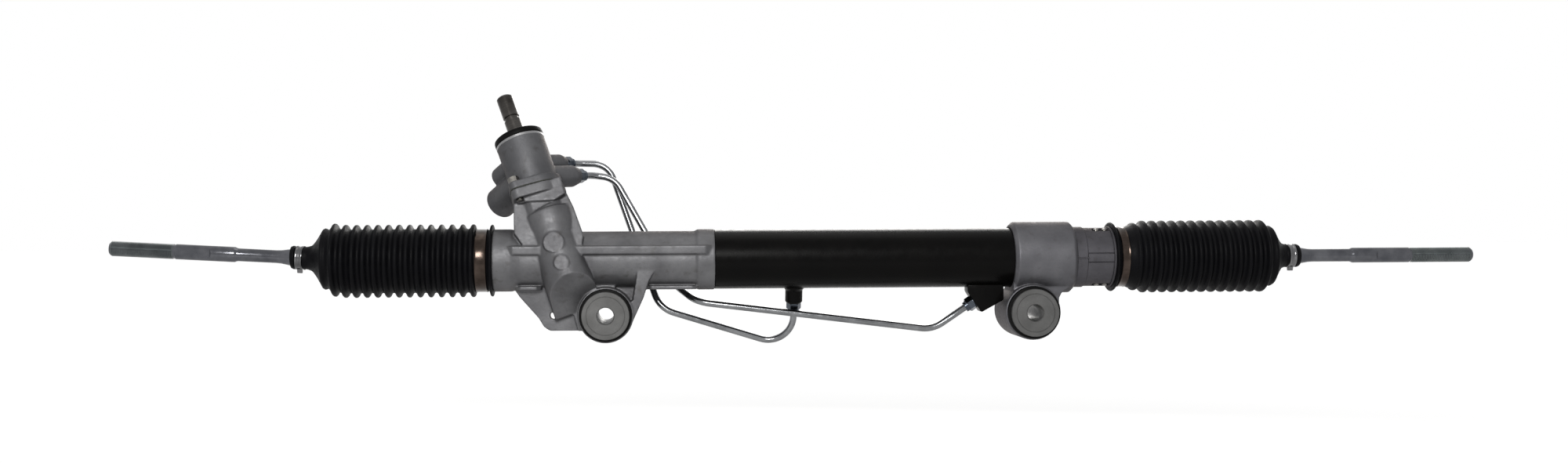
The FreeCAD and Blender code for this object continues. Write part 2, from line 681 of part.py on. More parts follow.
def tube_boss_cut(level, offset):
    """Nut seat and oil way in one tube boss."""
    start = pinion_point(level, 0, offset)
    seat = ring(start, valve_direction(), TUBE_BOSS_REACH - NUT_INSERT, TUBE_BOSS_REACH + 1, NUT_RADIUS)
    way = ring(start, valve_direction(), 0, TUBE_BOSS_REACH, OIL_WAY_RADIUS)
    return [seat, way]


def port_boss(level, radius, reach):
    """Hose port boss on the back of the valve housing, with a rounded end."""
    start = pinion_point(level)
    away = valve_cross_direction() * -1
    edge = radius * 0.32
    profile = [(0, 8), (radius, 8), (radius, reach - edge), (radius - edge, reach), (0, reach)]
    return turned(profile, start, away)


def valve_housing():
    """Valve housing with flange, tube bosses and hose ports."""
    base = PARTING + GASKET_THICKNESS
    away = valve_cross_direction() * -1
    body = fused([flange_outline(base, FLANGE_THICKNESS), pinion_ring(base, VALVE_TOP, VALVE_RADIUS),
                  tube_boss(NEAR_BOSS_LEVEL, NEAR_BOSS_OFFSET, NEAR_BOSS_RADIUS),
                  tube_boss(FAR_BOSS_LEVEL, FAR_BOSS_OFFSET, FAR_BOSS_RADIUS),
                  port_boss(PRESSURE_BOSS_LEVEL, PRESSURE_BOSS_RADIUS, PRESSURE_BOSS_REACH),
                  port_boss(RETURN_BOSS_LEVEL, RETURN_BOSS_RADIUS, RETURN_BOSS_REACH)])
    # Nothing of the bosses reaches below the flange face
    below = pinion_ring(base - CLEAR_REACH, base, CLEAR_REACH)
    body = body.cut(below)
    cuts = [pinion_ring(base - 1, SHAFT_BEARING_BASE, VALVE_WALL_BORE),
            pinion_ring(base, SHAFT_SEAL_BASE, SHAFT_BEARING_RADIUS),
            pinion_ring(SHAFT_SEAL_BASE, VALVE_TOP + 1, SHAFT_SEAL_RADIUS),
            pinion_ring(SEAL_RING_BASE, SEAL_RING_BASE + SEAL_RING_THICKNESS, SEAL_RING_GROOVE)]
    cuts += tube_boss_cut(NEAR_BOSS_LEVEL, NEAR_BOSS_OFFSET)
    cuts += tube_boss_cut(FAR_BOSS_LEVEL, FAR_BOSS_OFFSET)
    pressure = pinion_point(PRESSURE_BOSS_LEVEL)
    cuts.append(ring(pressure, away, PRESSURE_BOSS_REACH - PORT_DEPTH, PRESSURE_BOSS_REACH + 1,
                     PRESSURE_PORT_RADIUS))
    cuts.append(ring(pressure, away, 0, PRESSURE_BOSS_REACH, OIL_WAY_RADIUS))
    # The thread of the return port is drilled through to the valve, above the end of the sleeve
    back = pinion_point(RETURN_BOSS_LEVEL)
    cuts.append(ring(back, away, RETURN_BOSS_REACH - RETURN_THREAD_DEPTH, RETURN_BOSS_REACH,
                     RETURN_PORT_RADIUS))
    # The flank of the longer boss makes way for the fitting
    cuts.append(ring(back, away, RETURN_BOSS_REACH, PRESSURE_BOSS_REACH + 1, RETURN_CLEARANCE_RADIUS))
    cuts.append(ring(back, away, RETURN_DRILL_BOTTOM, RETURN_BOSS_REACH, RETURN_DRILL_RADIUS))
    top = base + FLANGE_THICKNESS
    for side in (-1, 1):
        cuts.append(bolt_hole(side))
        centre = bolt_line_point(0, side * FLANGE_BOLT_CIRCLE)
        cuts.append(ring(centre, PINION_AXIS, top, top + SPOT_FACE_HEIGHT, SPOT_FACE_RADIUS))
    return body.cut(cuts)


def bolt_hole(side):
    """Hole for one flange bolt through valve housing, gasket and gear housing."""
    centre = bolt_line_point(0, side * FLANGE_BOLT_CIRCLE)
    top = PARTING + GASKET_THICKNESS + FLANGE_THICKNESS
    return ring(centre, PINION_AXIS, top - BOLT_DEPTH - 2, top, BOLT_RADIUS)


def flange_bolt(side):
    """Hexagon bolt of the valve flange."""
    centre = bolt_line_point(0, side * FLANGE_BOLT_CIRCLE)
    top = PARTING + GASKET_THICKNESS + FLANGE_THICKNESS
    shank = ring(centre, PINION_AXIS, top - BOLT_DEPTH, top + 0.5, BOLT_RADIUS)
    head = polygon_bar(centre, PINION_AXIS, top, top + BOLT_HEAD_HEIGHT, BOLT_HEAD_RADIUS, 6)
    return fused([shank, head])


def gasket():
    """Thin gasket between the two housings."""
    plate = flange_outline(PARTING, GASKET_THICKNESS)
    return plate.cut([pinion_ring(PARTING - 1, PARTING + 1, VALVE_WALL_BORE)]
                     + [bolt_hole(side) for side in (-1, 1)])


def flange_column():
    """Solid under the valve flange that carries its shape down to the rack tube."""
    seat = flange_outline(PARTING - FLANGE_SEAT_DEPTH, FLANGE_SEAT_DEPTH)
    back = TO_PINION * (CENTRE_DISTANCE - COLUMN_RADIUS)
    corner = Vec(PINION_X, 0, RACK_HEIGHT) + back
    points = [corner + X_AXIS * x + TOOTH_LINE * along for x, along in FLANGE_COLUMN_OUTLINE]
    block = prism(points, TO_PINION * (COLUMN_RADIUS + FLANGE_COLUMN_FRONT))
    above = pinion_ring(PARTING, PARTING + CLEAR_REACH, CLEAR_REACH)
    front = front_block()
    return fused([seat, block.cut(above), front.cut(above)])


def column_front_point(right, level, reach=0.0):
    """Point beside the pinion axis: to the right, up the axis and towards the viewer."""
    return PINION_ORIGIN + PINION_RIGHT * right + PINION_AXIS * level + TO_PINION * reach


def front_block():
    """Block that fills the column's front up to the flange, its lower edge level with the rack."""
    corners = [column_front_point(right, level) for right, level in FRONT_BLOCK_OUTLINE]
    return prism(corners, TO_PINION * COLUMN_RADIUS)


def column_pocket():
    """Shallow pocket in the column's front between the block and the slanted ridge below it."""
    corners = [column_front_point(right, level, POCKET_FLOOR) for right, level in POCKET_OUTLINE]
    return prism(corners, TO_PINION * COLUMN_RADIUS)


def column_marks():
    """Round flat marks standing slightly proud of the column's front."""
    marks = []
    for right, level, radius in COLUMN_MARKS:
        centre = column_front_point(right, level)
        marks.append(ring(centre, TO_PINION, TOOTH_BORE_RADIUS + RIB_HEIGHT, MARK_FRONT, radius))
    return marks


def column():
    """Round column about the pinion, its lower end cut off at a slant that faces down and forward."""
    barrel = pinion_ring(-COLUMN_BOTTOM, COLUMN_TOP, COLUMN_RADIUS)
    back = Part.makeBox(2 * COLUMN_RADIUS, COLUMN_RADIUS + 4, COLUMN_BOTTOM + COLUMN_TOP,
                        Vec(-COLUMN_RADIUS, 0, -COLUMN_BOTTOM))
    slant = [Vec(-2 * COLUMN_RADIUS, y, level) for y, level in COLUMN_SLANT]
    lower = in_pinion_frame(prism(slant, X_AXIS * (4 * COLUMN_RADIUS)))
    return fused([barrel, in_pinion_frame(back)]).cut(lower)


def housing_ribs():
    """Long ribs on the front of the rack tube."""
    reach = RACK_TUBE_RADIUS + RIB_HEIGHT
    seat_end = HOUSING_LEFT + CUFF_SEAT_LENGTH
    upper = rack_sector(seat_end + UPPER_RIB_INSET, COLLAR_END - 4.0, reach, *UPPER_RIB)
    lower_left = rack_sector(seat_end + LOWER_RIB_INSET, PINION_X - 16.0, reach, *LOWER_RIB)
    lower_right = rack_sector(BUSH_ARM_X + 6.0, TUBE_LEFT - 1.0, reach, *LOWER_RIB)
    return [upper, lower_left, lower_right]


def rack_sector(start, end, reach, height, thickness):
    """Rib along the front of the rack tube at one height above the rack axis."""
    depth = math.sqrt(max(reach ** 2 - height ** 2, 1.0))
    bar = Part.makeBox(end - start, depth, thickness,
                       Vec(start, -depth, RACK_HEIGHT + height - thickness / 2))
    slope = 3.0
    tips = []
    for tip, turn in ((start, 1), (end, -1)):
        corners = [Vec(tip, -depth - 1, 0), Vec(tip, -depth + slope, 0),
                   Vec(tip + turn * 2 * slope, -depth - 1, 0)]
        tips.append(prism(corners, Z_AXIS * CLEAR_REACH))
    return bar.cut(tips)


def pinion_side_mount():
    """Web plates, arm and eye that carry the pinion-side bush."""
    web_back = WEB_FRONT + WEB_THICKNESS
    hole = ring(Vec(WEB_HOLE_X, 0, WEB_HOLE_Z), Y_AXIS, WEB_FRONT - 1, web_back + 1, WEB_HOLE_RADIUS)
    plate = front_plate(WEB_OUTLINE, WEB_FRONT, web_back).cut(hole)
    thick = front_plate(STEP_OUTLINE, STEP_PLATE_FRONT, web_back + 5)
    arm = front_plate(ARM_OUTLINE, ARM_FRONT, ARM_BACK)
    eye = ring(Vec(), Y_AXIS, -EYE_HALF_LENGTH, EYE_HALF_LENGTH, EYE_RADIUS)
    rear_web = front_plate(REAR_WEB_OUTLINE, WEB_FRONT, REAR_WEB_BACK)
    return fused([plate, thick, arm, eye, rear_web])


def guide_frame_ring(start, end, outer, inner=0.0):
    """Disc or ring on the rack guide's axis, by distance from the rack axis."""
    return ring(Vec(PINION_X, 0, RACK_HEIGHT), TO_PINION * -1, start, end, outer, inner)


def gear_housing():
    """Gear housing casting with all its bores."""
    seat_end = HOUSING_LEFT + CUFF_SEAT_LENGTH
    barrel_end = seat_end + LEFT_BARREL_LENGTH
    skin = [(0, HOUSING_LEFT), (CUFF_SEAT_RADIUS_LEFT, HOUSING_LEFT), (CUFF_SEAT_RADIUS_LEFT, seat_end),
            (LEFT_BARREL_RADIUS, seat_end), (LEFT_BARREL_RADIUS, barrel_end),
            (RACK_TUBE_RADIUS, barrel_end + 9), (RACK_TUBE_RADIUS, TUBE_LEFT - 3),
            (COLLAR_RADIUS, TUBE_LEFT), (COLLAR_RADIUS, COLLAR_END), (0, COLLAR_END)]
    tube = turned(skin, Vec(0, 0, RACK_HEIGHT), X_AXIS)
    guide_boss = guide_frame_ring(0, GUIDE_BOSS_REACH, GUIDE_BOSS_RADIUS)
    upper = fused([column(), flange_column()] + column_marks()).cut(column_pocket())
    body = fused([tube, upper, guide_boss, pinion_side_mount()] + housing_ribs())
    seal_base = TUBE_LEFT - INNER_BUSH_LENGTH - SEAL_LENGTH
    cuts = [rack_ring(HOUSING_LEFT - 1, TUBE_LEFT, RACK_BORE_RADIUS),
            rack_ring(seal_base, TUBE_LEFT + 1, SEAL_RADIUS),
            rack_ring(TUBE_LEFT, COLLAR_END + 1, TUBE_SPIGOT_RADIUS),
            pinion_ring(LOWER_BEARING_BASE, -TOOTH_HALF_LENGTH, LOWER_BEARING_RADIUS),
            pinion_ring(LOWER_BEARING_BASE + LOWER_BEARING_LENGTH, PINION_SEAL_BASE, TOOTH_BORE_RADIUS),
            pinion_ring(PINION_SEAL_BASE, UPPER_BEARING_BASE, PINION_SEAL_RADIUS),
            pinion_ring(UPPER_BEARING_BASE, PARTING + 20, VALVE_CAVITY_RADIUS),
            guide_frame_ring(0, GUIDE_BOSS_REACH + 1, GUIDE_RADIUS + RUNNING_FIT),
            ring(Vec(), Y_AXIS, -EYE_HALF_LENGTH - 1, EYE_HALF_LENGTH + 1, EYE_BORE)]
    cuts += [bolt_hole(side) for side in (-1, 1)]
    return body.cut(cuts)


def ball_bearing(base, length, outer, inner, ball):
    """Ball bearing on the pinion axis: outer race, inner race and balls."""
    middle = (outer + inner) / 2
    level = base + length / 2
    centre_line = PINION_ORIGIN + PINION_AXIS * level
    groove = placed(Part.makeTorus(middle, ball + RUNNING_FIT), centre_line, PINION_AXIS)
    races = [pinion_ring(base, base + length, outer, outer - BEARING_RACE).cut(groove),
             pinion_ring(base, base + length, inner + BEARING_RACE, inner).cut(groove)]
    balls = around(PINION_ORIGIN, PINION_AXIS, middle, level, BALL_COUNT,
                   lambda centre: Part.makeSphere(ball, centre))
    return races + balls


def needle_bearing():
    """Drawn-cup needle bearing under the pinion."""
    cup_inner = LOWER_BEARING_RADIUS - NEEDLE_CUP_WALL
    needle = (cup_inner - LOWER_JOURNAL_RADIUS - RUNNING_FIT) / 2
    base = LOWER_BEARING_BASE
    cup = pinion_ring(base, base + LOWER_BEARING_LENGTH, LOWER_BEARING_RADIUS, cup_inner)
    needles = around(PINION_ORIGIN, PINION_AXIS, cup_inner - needle, base + 1, NEEDLE_COUNT,
                     lambda foot: Part.makeCylinder(needle, LOWER_BEARING_LENGTH - 2, foot))
    return [cup] + needles


def lip_seal(origin, axis, base, length, outer, shaft):
    """Lip seal: thick outer band and a lip that runs on the shaft."""
    lip = shaft + RING_FIT
    wall = (outer - lip) * 0.35
    profile = [(lip, base), (outer, base), (outer, base + length), (outer - wall, base + length),
               (outer - wall, base + length * 0.4), (lip + wall, base + length * 0.4),
               (lip + wall * 0.6, base + length * 0.9), (lip, base + length * 0.6)]
    return turned(profile, origin, axis)


def rack_bar():
    """Rack bar with its teeth, piston seat grooves and end threads."""
    bar = rack_ring(RACK_LEFT, RACK_RIGHT, RACK_RADIUS)
    line = Vec(PINION_X + FLAT_SHIFT, 0, RACK_HEIGHT)
    half = FLAT_LENGTH / 2
    reach = 2 * RACK_RADIUS
    corner = line - X_AXIS * half - TOOTH_LINE * reach + TO_PINION * RACK_FLAT
    far = corner + X_AXIS * FLAT_LENGTH
    flat = prism([corner, far, far + TO_PINION * reach, corner + TO_PINION * reach], TOOTH_LINE * (2 * reach))
    pitch = math.pi * TOOTH_MODULE
    slope = math.tan(math.radians(PRESSURE_ANGLE))
    middle = pitch / 4 + BACKLASH / 4
    spaces = []
    first = math.ceil((FLAT_SHIFT - half + pitch / 2) / pitch)
    last = math.floor((FLAT_SHIFT + half - pitch / 2) / pitch)
    top = RACK_ADDENDUM + 1.0
    for index in range(first, last + 1):
        centre = Vec(PINION_X + index * pitch, 0, RACK_HEIGHT) + TO_PINION * (RACK_FLAT - RACK_ADDENDUM)
        corners = []
        for side, height in ((-1, top), (-1, -RACK_DEDENDUM), (1, -RACK_DEDENDUM), (1, top)):
            width = middle + slope * height
            corners.append(centre + X_AXIS * (side * width) + TO_PINION * height - TOOTH_LINE * reach)
        spaces.append(prism(corners, TOOTH_LINE * (2 * reach)))
    bar = bar.cut(flat).cut(Part.makeCompound(spaces))
    for end, inward in ((RACK_LEFT, 1), (RACK_RIGHT, -1)):
        edge = Vec(end, 0, RACK_HEIGHT)
        bar = bar.cut(ring(edge, X_AXIS * inward, 0, SOCKET_STUD_LENGTH + 2, SOCKET_STUD_RADIUS))
    for start in circlip_starts():
        end = start + CIRCLIP_THICKNESS
        bar = bar.cut(rack_ring(start, end, RACK_RADIUS + 1, RACK_RADIUS - CIRCLIP_DEPTH))
    return bar


def circlip_starts():
    """X stations where the two piston circlips begin."""
    return [PISTON_CENTRE - PISTON_LENGTH / 2 - CIRCLIP_THICKNESS, PISTON_CENTRE + PISTON_LENGTH / 2]


def circlips():
    """Two open rings that hold the piston on the rack bar."""
    clips = []
    for start in circlip_starts():
        end = start + CIRCLIP_THICKNESS
        clip = rack_ring(start, end, RACK_RADIUS + CIRCLIP_HEIGHT, RACK_RADIUS - CIRCLIP_DEPTH)
        gap = Part.makeBox(CIRCLIP_THICKNESS + 2, 4.0, 2 * RACK_RADIUS,
                           Vec(start - 1, -2.0, RACK_HEIGHT - 2.6 * RACK_RADIUS))
        clips.append(clip.cut(gap))
    return clips


def piston():
    """Piston with the groove for its ring."""
    half = PISTON_LENGTH / 2
    outer = TUBE_BORE - PISTON_GAP
    disc = rack_ring(PISTON_CENTRE - half, PISTON_CENTRE + half, outer, RACK_RADIUS)
    start = PISTON_CENTRE - PISTON_RING_WIDTH / 2
    return disc.cut(rack_ring(start, start + PISTON_RING_WIDTH, outer + 1, outer - PISTON_RING_DEPTH))


def piston_ring():
    """Sealing ring of the piston."""
    floor = TUBE_BORE - PISTON_GAP - PISTON_RING_DEPTH
    return rack_ring(PISTON_CENTRE - PISTON_RING_WIDTH / 2, PISTON_CENTRE + PISTON_RING_WIDTH / 2,
                     TUBE_BORE - RING_FIT, floor)


def radial_down():
    """Direction of the near port boss, down and slightly away from the viewer."""
    lean = math.radians(PORT_A_LEAN)
    return Vec(0, math.sin(lean), -math.cos(lean))


def port_b_direction():
    """Direction in which the far port's nut screws in, up and to the right."""
    slope = math.radians(PORT_B_SLOPE)
    return Vec(math.cos(slope), 0, math.sin(slope))


def port_b_meeting():
    """Point in the far port block where the slanted and the upright oil way meet."""
    return Vec(PORT_B_X, PORT_B_FRONT, RACK_HEIGHT - PORT_B_DROP)


def port_b_mouth():
    """Centre of the far port block's slanted face."""
    return port_b_meeting() - port_b_direction() * PORT_B_BOSS_LENGTH


def port_b_block():
    """Block welded under the tube, with a slanted face for the far port's nut."""
    mouth = port_b_mouth()
    direction = port_b_direction()
    upper = mouth + Vec(-direction.z, 0, direction.x) * PORT_B_FACE_HALF
    lower = mouth - Vec(-direction.z, 0, direction.x) * PORT_B_FACE_HALF
    right = PORT_B_X + PORT_B_BLOCK_RIGHT
    top = RACK_HEIGHT - TUBE_BORE
    outline = [(upper.x, upper.z), (upper.x, top), (right, top), (right, lower.z + PORT_B_FACE_HALF),
               (lower.x, lower.z)]
    return front_plate(outline, PORT_B_FRONT - PORT_B_HALF_WIDTH, PORT_B_FRONT + PORT_B_HALF_WIDTH)


def cylinder_tube():
    """Cylinder tube with its two welded port bosses."""
    skin = [(TUBE_BORE, TUBE_LEFT), (TUBE_SPIGOT_RADIUS, TUBE_LEFT), (TUBE_SPIGOT_RADIUS, COLLAR_END),
            (TUBE_RADIUS, COLLAR_END), (TUBE_RADIUS, TUBE_RIGHT), (TUBE_BORE, TUBE_RIGHT)]
    shell = turned(skin, Vec(0, 0, RACK_HEIGHT), X_AXIS)
    keep_out = rack_ring(TUBE_LEFT, TUBE_RIGHT, TUBE_BORE + 1)
    port_a = Vec(PORT_A_X, 0, RACK_HEIGHT)
    boss_a = ring(port_a, radial_down(), TUBE_BORE, PORT_A_BOSS_REACH, PORT_A_BOSS_RADIUS)
    mouth = port_b_mouth()
    body = fused([shell, boss_a.cut(keep_out), port_b_block().cut(keep_out)])
    cuts = [ring(port_a, radial_down(), PORT_A_BOSS_REACH - NUT_INSERT, PORT_A_BOSS_REACH + 1, NUT_RADIUS),
            ring(port_a, radial_down(), TUBE_BORE - 2, PORT_A_BOSS_REACH, OIL_WAY_RADIUS),
            ring(mouth, port_b_direction(), -1, NUT_INSERT, NUT_RADIUS),
            ring(mouth, port_b_direction(), 0, PORT_B_BOSS_LENGTH, OIL_WAY_RADIUS),
            ring(port_b_meeting(), Z_AXIS, -OIL_WAY_RADIUS, PORT_B_DROP - TUBE_BORE + 2, OIL_WAY_RADIUS),
            rack_ring(TUBE_RIGHT - LOCK_RING_WIDTH - 5.0, TUBE_RIGHT - 5.0, TUBE_BORE + LOCK_RING_DEPTH)]
    return body.cut(cuts)


def cylinder_bracket():
    """Bracket that clamps round the tube and carries the far bush."""
    profile = [(TUBE_RADIUS, BRACKET_LEFT), (BRACKET_RADIUS - BRACKET_CHAMFER, BRACKET_LEFT),
               (BRACKET_RADIUS, BRACKET_LEFT + BRACKET_CHAMFER),
               (BRACKET_RADIUS, TUBE_RIGHT - BRACKET_CHAMFER),
               (BRACKET_RADIUS - BRACKET_CHAMFER, TUBE_RIGHT), (TUBE_RADIUS, TUBE_RIGHT)]
    clamp = turned(profile, Vec(0, 0, RACK_HEIGHT), X_AXIS)
    eye = ring(Vec(BUSH_SPACING, 0, 0), Y_AXIS, -EYE_HALF_LENGTH, EYE_HALF_LENGTH, EYE_RADIUS)
    top = RACK_HEIGHT - RACK_RADIUS
    right = BUSH_SPACING + EYE_RADIUS
    neck = [(BRACKET_LEFT, top), (BRACKET_LEFT, 6.0), (BUSH_SPACING, 0.0), (right, 0.0), (right, 12.0),
            (right + 2.5, 17.0), (TUBE_RIGHT - BRACKET_CHAMFER, 23.0), (TUBE_RIGHT - BRACKET_CHAMFER, top)]
    web = front_plate(neck, -19.0, 19.0)
    body = fused([clamp, eye, web])
    return body.cut([rack_ring(BRACKET_LEFT - 30, TUBE_RIGHT + 30, TUBE_RADIUS),
                     ring(Vec(BUSH_SPACING, 0, 0), Y_AXIS, -EYE_HALF_LENGTH - 1, EYE_HALF_LENGTH + 1,
                          EYE_BORE)])


def end_housing():
    """End housing that closes the cylinder and carries the rack bushing and outer seal."""
    spigot = TUBE_BORE - RUNNING_FIT
    left = TUBE_RIGHT - END_SPIGOT_LENGTH
    rim = 1.8
    skin = [(0, left), (spigot, left), (spigot, TUBE_RIGHT), (END_SHOULDER_RADIUS, TUBE_RIGHT),
            (END_SHOULDER_RADIUS, END_STEP), (END_BODY_RADIUS, END_STEP), (END_BODY_RADIUS, END_RIM - rim),
            (END_BODY_RADIUS + 1.2, END_RIM - rim), (END_BODY_RADIUS + 1.2, END_RIM),
            (CUFF_SEAT_RADIUS_RIGHT, END_RIM), (CUFF_SEAT_RADIUS_RIGHT, END_RIGHT), (0, END_RIGHT)]
    body = turned(skin, Vec(0, 0, RACK_HEIGHT), X_AXIS)
    corner = Vec(END_STEP, -END_BODY_RADIUS - 0.8, RACK_HEIGHT - 4.0)
    key = Part.makeBox(END_BODY_LENGTH - rim, 6.0, 8.0, corner)
    body = fused([body, key])
    cuts = [rack_ring(left - 1, END_RIGHT + 1, END_BORE),
            rack_ring(left - 1, left + SEAL_LENGTH, SEAL_RADIUS),
            rack_ring(left, left + SEAL_LENGTH + RACK_BUSHING_LENGTH, RACK_BUSHING_RADIUS),
            rack_ring(left + 3.0, left + 3.0 + O_RING_WIDTH, spigot + 1, spigot - O_RING_DEPTH),
            rack_ring(TUBE_RIGHT - LOCK_RING_WIDTH - 5.0, TUBE_RIGHT - 5.0, spigot + 1,
                      spigot - LOCK_RING_DEPTH)]
    return body.cut(cuts)


def mounting_bush(centre):
    """Rubber and sleeve of one mounting bush; the sleeve has a plate at each end."""
    half = EYE_HALF_LENGTH
    lip = half + BUSH_LIP_THICKNESS
    end = lip + BUSH_PLATE_THICKNESS
    tube = BUSH_SLEEVE_RADIUS
    rubber = turned([(tube, -lip), (BUSH_LIP_RADIUS, -lip), (BUSH_LIP_RADIUS, -half), (EYE_BORE, -half),
                     (EYE_BORE, half), (BUSH_LIP_RADIUS, half), (BUSH_LIP_RADIUS, lip), (tube, lip)],
                    centre, Y_AXIS)
    plate = BUSH_PLATE_RADIUS
    sleeve = turned([(BUSH_BOLT_RADIUS, -end), (plate, -end), (plate, -lip), (tube, -lip), (tube, lip),
                     (plate, lip), (plate, end), (BUSH_BOLT_RADIUS, end)], centre, Y_AXIS)
    groove = plate - 4.2
    for side in (-1, 1):
        sleeve = sleeve.cut(ring(centre, Y_AXIS * side, end - 0.4, end + 1, groove + 0.5, groove))
    return rubber, sleeve


def rack_guide():
    """Guide body with its liner, pressed against the back of the rack."""
    outer = RACK_RADIUS + RUNNING_FIT + LINER_THICKNESS
    body = guide_frame_ring(4.0, GUIDE_BACK, GUIDE_RADIUS)
    body = body.cut([rack_ring(PINION_X - 40, PINION_X + 40, outer),
                     guide_frame_ring(SPRING_SEAT, GUIDE_BACK + 1, SPRING_RADIUS + SPRING_WIRE + 0.6)])
    shell = rack_ring(PINION_X - 40, PINION_X + 40, outer, RACK_RADIUS + RUNNING_FIT)
    liner = shell.common(guide_frame_ring(4.0, GUIDE_BACK, GUIDE_RADIUS - 0.5))
    return body, liner


def guide_spring():
    """Coil spring between guide and cap."""
    start = SPRING_SEAT + SPRING_WIRE
    length = CAP_FACE + CAP_RECESS - SPRING_WIRE - start
    turns = 3.5
    helix = Part.makeHelix(length / turns, length, SPRING_RADIUS)
    section = Part.Wire(Part.makeCircle(SPRING_WIRE, Vec(SPRING_RADIUS, 0, 0), Y_AXIS))
    coil = Part.Wire(helix).makePipeShell([section], True, True)
    coil.translate(Vec(0, 0, start))
    return placed(coil, Vec(PINION_X, 0, RACK_HEIGHT), TO_PINION * -1)


def guide_cap():
    """Adjusting cap of the rack guide."""
    cap = guide_frame_ring(CAP_FACE, CAP_END, GUIDE_RADIUS)
    recess = guide_frame_ring(CAP_FACE - 1, CAP_FACE + CAP_RECESS, CAP_RECESS_RADIUS)
    axis = TO_PINION * -1
    key = polygon_bar(Vec(PINION_X, 0, RACK_HEIGHT), axis, CAP_END - 5.0, CAP_END + 1, CAP_HEX * 1.15, 6)
    return cap.cut([recess, key])


def guide_lock_nut():
    """Thin lock nut on the guide cap."""
    axis = TO_PINION * -1
    start = GUIDE_BOSS_REACH
    nut = polygon_bar(Vec(PINION_X, 0, RACK_HEIGHT), axis, start, start + LOCK_NUT_HEIGHT, LOCK_NUT_RADIUS, 6)
    return nut.cut(guide_frame_ring(start - 1, start + LOCK_NUT_HEIGHT + 1, GUIDE_RADIUS))


def ball_socket(ball, outward):
    """Inner ball socket screwed into the rack end."""
    stud_end = -SOCKET_BACK - CLAW_THICKNESS - SOCKET_STUD_LENGTH
    profile = [(0, stud_end), (SOCKET_STUD_RADIUS, stud_end), (SOCKET_STUD_RADIUS, -SOCKET_BACK),
               (SOCKET_RADIUS, -SOCKET_BACK), (SOCKET_RADIUS, SOCKET_SHOULDER),
               (SOCKET_LIP_RADIUS, SOCKET_FRONT), (0, SOCKET_FRONT)]
    body = turned(profile, ball, outward)
    flats = []
    for start in (SOCKET_FLAT, -SOCKET_FLAT - SOCKET_RADIUS):
        corner = Vec(ball.x - CLEAR_REACH, start, RACK_HEIGHT - SOCKET_RADIUS)
        flats.append(Part.makeBox(2 * CLEAR_REACH, SOCKET_RADIUS, 2 * SOCKET_RADIUS, corner))
    cone = ring_cone(SOCKET_OPENING, SOCKET_FRONT + 8)
    return body.cut([Part.makeSphere(SEAT_RADIUS + BALL_FIT, ball), placed(cone, ball, outward)] + flats)


def ring_cone(half_angle, height):
    """Cone with its apex at the world origin, opening along Z."""
    return Part.makeCone(0, height * math.tan(math.radians(half_angle)), height)


def ball_seat(ball, outward):
    """Plastic seat round the ball, open towards the rod."""
    shell = Part.makeSphere(SEAT_RADIUS, ball).cut(Part.makeSphere(BALL_RADIUS + BALL_FIT, ball))
    return shell.cut(placed(ring_cone(SEAT_OPENING, SEAT_RADIUS + 4), ball, outward))


def claw_washer(end, outward):
    """Washer between rack and socket, with two claws bent over the socket's flats."""
    edge = Vec(end, 0, RACK_HEIGHT)
    disc = ring(edge, X_AXIS * outward, 0, CLAW_THICKNESS, CLAW_RADIUS, SOCKET_STUD_RADIUS)
    length = CLAW_THICKNESS + CLAW_TAB_LENGTH
    start = end if outward > 0 else end - length
    tabs = [Part.makeBox(length, CLAW_THICKNESS, CLAW_TAB_WIDTH,
                         Vec(start, side * (SOCKET_FLAT + CLAW_THICKNESS / 2) - CLAW_THICKNESS / 2,
                             RACK_HEIGHT - CLAW_TAB_WIDTH / 2)) for side in (-1, 1)]
    return fused([disc] + tabs)


def tie_rod(ball, axis):
    """Tie rod with its ball, clip seat, wrench flats and end thread."""
    profile = [(0, 0), (NECK_RADIUS, 0), (NECK_RADIUS, NECK_END), (CLIP_SEAT_RADIUS, CLIP_SEAT_START),
               (CLIP_SEAT_RADIUS, FLARE_START), (SHAFT_THIN_RADIUS, FLARE_END), (SHAFT_THIN_RADIUS, THIN_END),
               (SHAFT_THICK_RADIUS, THIN_END + 1.5), (SHAFT_THICK_RADIUS, FLATS_END),
               (THREAD_RADIUS, FLATS_END + 0.5), (THREAD_RADIUS, ROD_TIP - 1.5),
               (THREAD_RADIUS - 1.5, ROD_TIP), (0, ROD_TIP)]
    shaft = fused([turned(profile, ball, axis), Part.makeSphere(BALL_RADIUS, ball)])
    side = axis.cross(Y_AXIS)
    flats = []
    for sign in (-1, 1):
        block = Part.makeBox(20, 10, FLATS_END - THICK_END, Vec(-10, FLAT_HALF_WIDTH if sign > 0
                                                               else -FLAT_HALF_WIDTH - 10, THICK_END))
        flats.append(placed(block, ball, axis, side))
    return shaft.cut(flats)


def fold_profile(first_peak, pitch, count, cuff_end, cuff_radius):
    """Outer bellows outline after the cuff, as (radius, distance) corners."""
    points = [(cuff_radius, cuff_end)]
    for index in range(count):
        peak = first_peak + pitch * index
        points += [(PEAK_RADIUS, peak - pitch * 0.12), (PEAK_RADIUS, peak + pitch * 0.12),
                   (VALLEY_RADIUS, peak + pitch * 0.40)]
        if index < count - 1:
            points.append((VALLEY_RADIUS, peak + pitch * 0.60))
    return points


